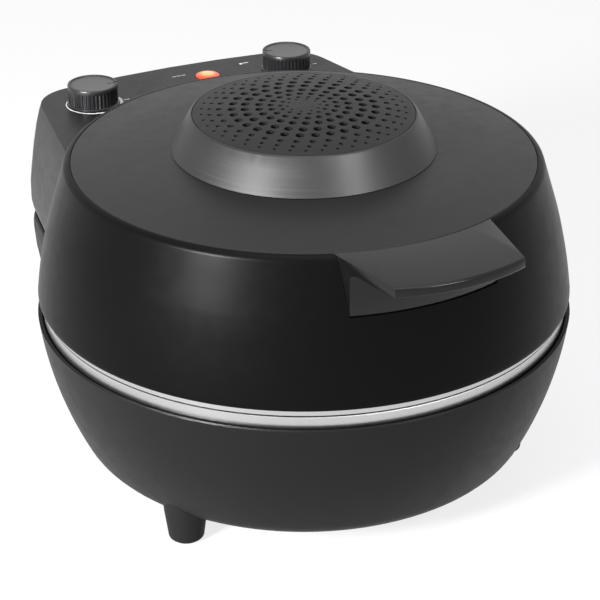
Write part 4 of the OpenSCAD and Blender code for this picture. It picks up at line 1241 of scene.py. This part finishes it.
@dataclass
class ControlPanel:
    """Rear housing with its knobs, lamp, switches and printed marks."""

    finishes: Finishes
    pointers_deg: tuple[float, float] = (-15.0, 153.0)
    ink_mm: float = 0.06
    dashes: tuple[Dash, ...] = (
        Dash(-56.6, 189.0, 4.6, 1.3, True),
        Dash(-4.6, 217.0, 3.2, 1.6, False),
        Dash(-0.6, 217.0, 3.2, 1.6, False),
        Dash(3.4, 217.0, 3.2, 1.6, False),
        Dash(59.4, 220.2, 4.4, 1.1, True),
        Dash(108.2, 193.2, 3.4, 1.1, True),
    )
    dot_mm: tuple[float, float, float] = (55.0, 219.6, 1.35)
    wedge_arcs_mm: tuple[Point, Point] = ((20.3, 20.3), (20.8, 23.0))
    wedge_deg: tuple[float, float] = (140.0, 368.0)
    wedge_steps: int = 60

    def build(self) -> None:
        """Makes the housing's skins, the knobs, the lens and the marks."""
        f = self.finishes
        Workshop.skin("control_housing", "top_black", f.top, 24.0)
        Workshop.skin("hinge_plate", "cover_black", f.cover)
        Workshop.skin("indicator_lens", "lens_orange", f.lens)
        Knob(f, "thermostat_knob", Body.THERMOSTAT, self.pointers_deg[0]).build()
        Knob(f, "timer_knob", Body.TIMER, self.pointers_deg[1]).build()
        self.print_marks()
        self.print_wedge()

    def panel_height(self) -> float:
        """Gives the height of the panel's face in metres."""
        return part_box("control_housing")[1].z

    def print_marks(self) -> None:
        """Prints the dashes and the dot."""
        thick = self.ink_mm * MM
        middle = AXIS + Vector((0, 0, self.panel_height() + thick / 2))
        inks = {True: bmesh.new(), False: bmesh.new()}
        for dash in self.dashes:
            place = Matrix.Translation(middle + Vector((dash.x_mm, dash.y_mm, 0)) * MM)
            size = Matrix.Diagonal((dash.length_mm * MM, dash.width_mm * MM, thick, 1))
            bmesh.ops.create_cube(inks[dash.white], size=1.0, matrix=place @ size)
        x, y, radius = (value * MM for value in self.dot_mm)
        bmesh.ops.create_cone(
            inks[True], cap_ends=True, segments=24, radius1=radius, radius2=radius, depth=thick,
            matrix=Matrix.Translation(middle + Vector((x, y, 0))),
        )
        Workshop.piece("white_marks", inks[True], Body.LID, "lamp_glass", [self.finishes.ink])
        Workshop.piece("grey_marks", inks[False], Body.LID, "fitting_cream", [self.finishes.grey_ink])

    def print_wedge(self) -> None:
        """Prints the ring that widens round the left knob."""
        low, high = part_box("thermostat_knob")
        ink_top = self.panel_height() + self.ink_mm * MM
        centre = Vector(((low.x + high.x) / 2, (low.y + high.y) / 2, ink_top))
        first, last = (math.radians(turn) for turn in self.wedge_deg)
        way = Vector((math.cos(first), math.sin(first), 0))
        shape = bmesh.new()
        earlier: set[bmesh.types.BMVert] = set()
        for thin, wide in self.wedge_arcs_mm:
            start = shape.verts.new(centre + way * thin * MM)
            bmesh.ops.spin(
                shape, geom=[start], cent=centre, axis=(0, 0, 1), angle=last - first, steps=self.wedge_steps
            )
            line = [vert for vert in shape.verts if vert not in earlier]
            for index, vert in enumerate(line):
                reach = (thin + (wide - thin) * index / self.wedge_steps) * MM
                vert.co = centre + (vert.co - centre).normalized() * reach
            earlier.update(line)
        bmesh.ops.bridge_loops(shape, edges=shape.edges[:])
        bmesh.ops.recalc_face_normals(shape, faces=shape.faces)
        bmesh.ops.solidify(shape, geom=shape.faces[:], thickness=self.ink_mm * MM * 0.9)
        Workshop.piece("heat_wedge_mark", shape, Body.LID, "lamp_glass", [self.finishes.ink])

    def dress(self) -> None:
        """Gives the nodes that stay their materials."""
        f = self.finishes
        Workshop.dress(f.fitting, "thermostat_body", "timer_body")
        Workshop.dress(f.zinc, "thermostat_spindle", "timer_spindle")
        Workshop.dress(f.lamp, "indicator_lamp")


@dataclass
class Wheel:
    """Radial fan wheel with a hub, a disc and curved blades."""

    node: str
    slot: str
    material: Material
    disc_up: bool
    blades: int = 8
    sweep_deg: float = 26.0
    hub_mm: float = 8.0
    disc_mm: float = 1.2
    blade_mm: float = 1.1
    blade_steps: int = 8
    blade_curve: float = 1.6

    def build(self) -> None:
        """Builds the wheel inside its node's box."""
        low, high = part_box(self.node)
        radius, height, disc = (high.x - low.x) / 2, high.z - low.z, self.disc_mm * MM
        disc_middle = high.z - disc / 2 if self.disc_up else low.z + disc / 2
        blade_low = low.z if self.disc_up else low.z + disc
        shape = bmesh.new()
        hub_middle = low.z + height / 2
        for reach, z, depth in ((self.hub_mm * MM, hub_middle, height), (radius, disc_middle, disc)):
            bmesh.ops.create_cone(
                shape, cap_ends=True, segments=72, radius1=reach, radius2=reach, depth=depth,
                matrix=Matrix.Translation(AXIS + Vector((0, 0, z))),
            )
        for index in range(self.blades):
            self.add_blade(shape, math.tau * index / self.blades, radius, blade_low, height - disc)
        name = "dressed_" + self.node
        Workshop.piece(name, shape, Body.ROTOR, self.slot, [self.material], [self.node], 40.0)

    def add_blade(self, shape: Shape, turn: float, radius: float, low: float, height: float) -> None:
        """Adds one curved blade.

        Args:
            shape: Bmesh that gets it.
            turn: Direction of its root in radians.
            radius: Radius of the wheel in metres.
            low: Height of its lower edge in metres.
            height: Height of the blade in metres.
        """
        root, tip = self.hub_mm * MM * 0.9, radius * 0.97
        line = []
        for step in range(self.blade_steps + 1):
            share = step / self.blade_steps
            reach = root + (tip - root) * share
            bend = turn - math.radians(self.sweep_deg) * share**self.blade_curve
            place = Vector((reach * math.cos(bend), reach * math.sin(bend), low))
            line.append(shape.verts.new(AXIS + place))
        edges = [shape.edges.new(pair) for pair in zip(line, line[1:])]
        made = bmesh.ops.extrude_edge_only(shape, edges=edges)["geom"]
        for vert in (g for g in made if isinstance(g, bmesh.types.BMVert)):
            vert.co.z = low + height
        faces = [g for g in made if isinstance(g, bmesh.types.BMFace)]
        bmesh.ops.solidify(shape, geom=faces, thickness=self.blade_mm * MM)


@dataclass
class FanStack:
    """Motor shaft with the fan over the food and the fan under the grille."""

    finishes: Finishes

    def build(self) -> None:
        """Builds both wheels."""
        Wheel("hot_air_fan", "liner_steel", self.finishes.liner, True).build()
        Wheel("cooling_fan", "fan_plastic", self.finishes.fan, False).build()

    def dress(self) -> None:
        """Gives the nodes that stay their materials."""
        Workshop.dress(self.finishes.zinc, "motor_shaft", "fan_nut")


def main() -> None:
    """Builds the studio and every sub-assembly, then takes the two boxes and logs the finished size."""
    logging.basicConfig(level=logging.INFO, format="%(name)s: %(message)s")
    finishes = Finishes()
    Studio().build()
    for kind in (LowerCasing, LidDome, ControlPanel, FanStack):
        part = kind(finishes)
        part.build()
        part.dress()
        LOG.info("%s finished", type(part).__name__)
    Grip(finishes).build()
    boxes = {
        "cad": [list(corner) for corner in FRAME_BOX],
        "visual": [list(corner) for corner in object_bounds()],
    }
    sizes = [round((high - low) / MM, 1) for low, high in zip(*boxes["visual"])]
    LOG.info("size in millimetres: %s", sizes)


if __name__ == "__main__":
    main()
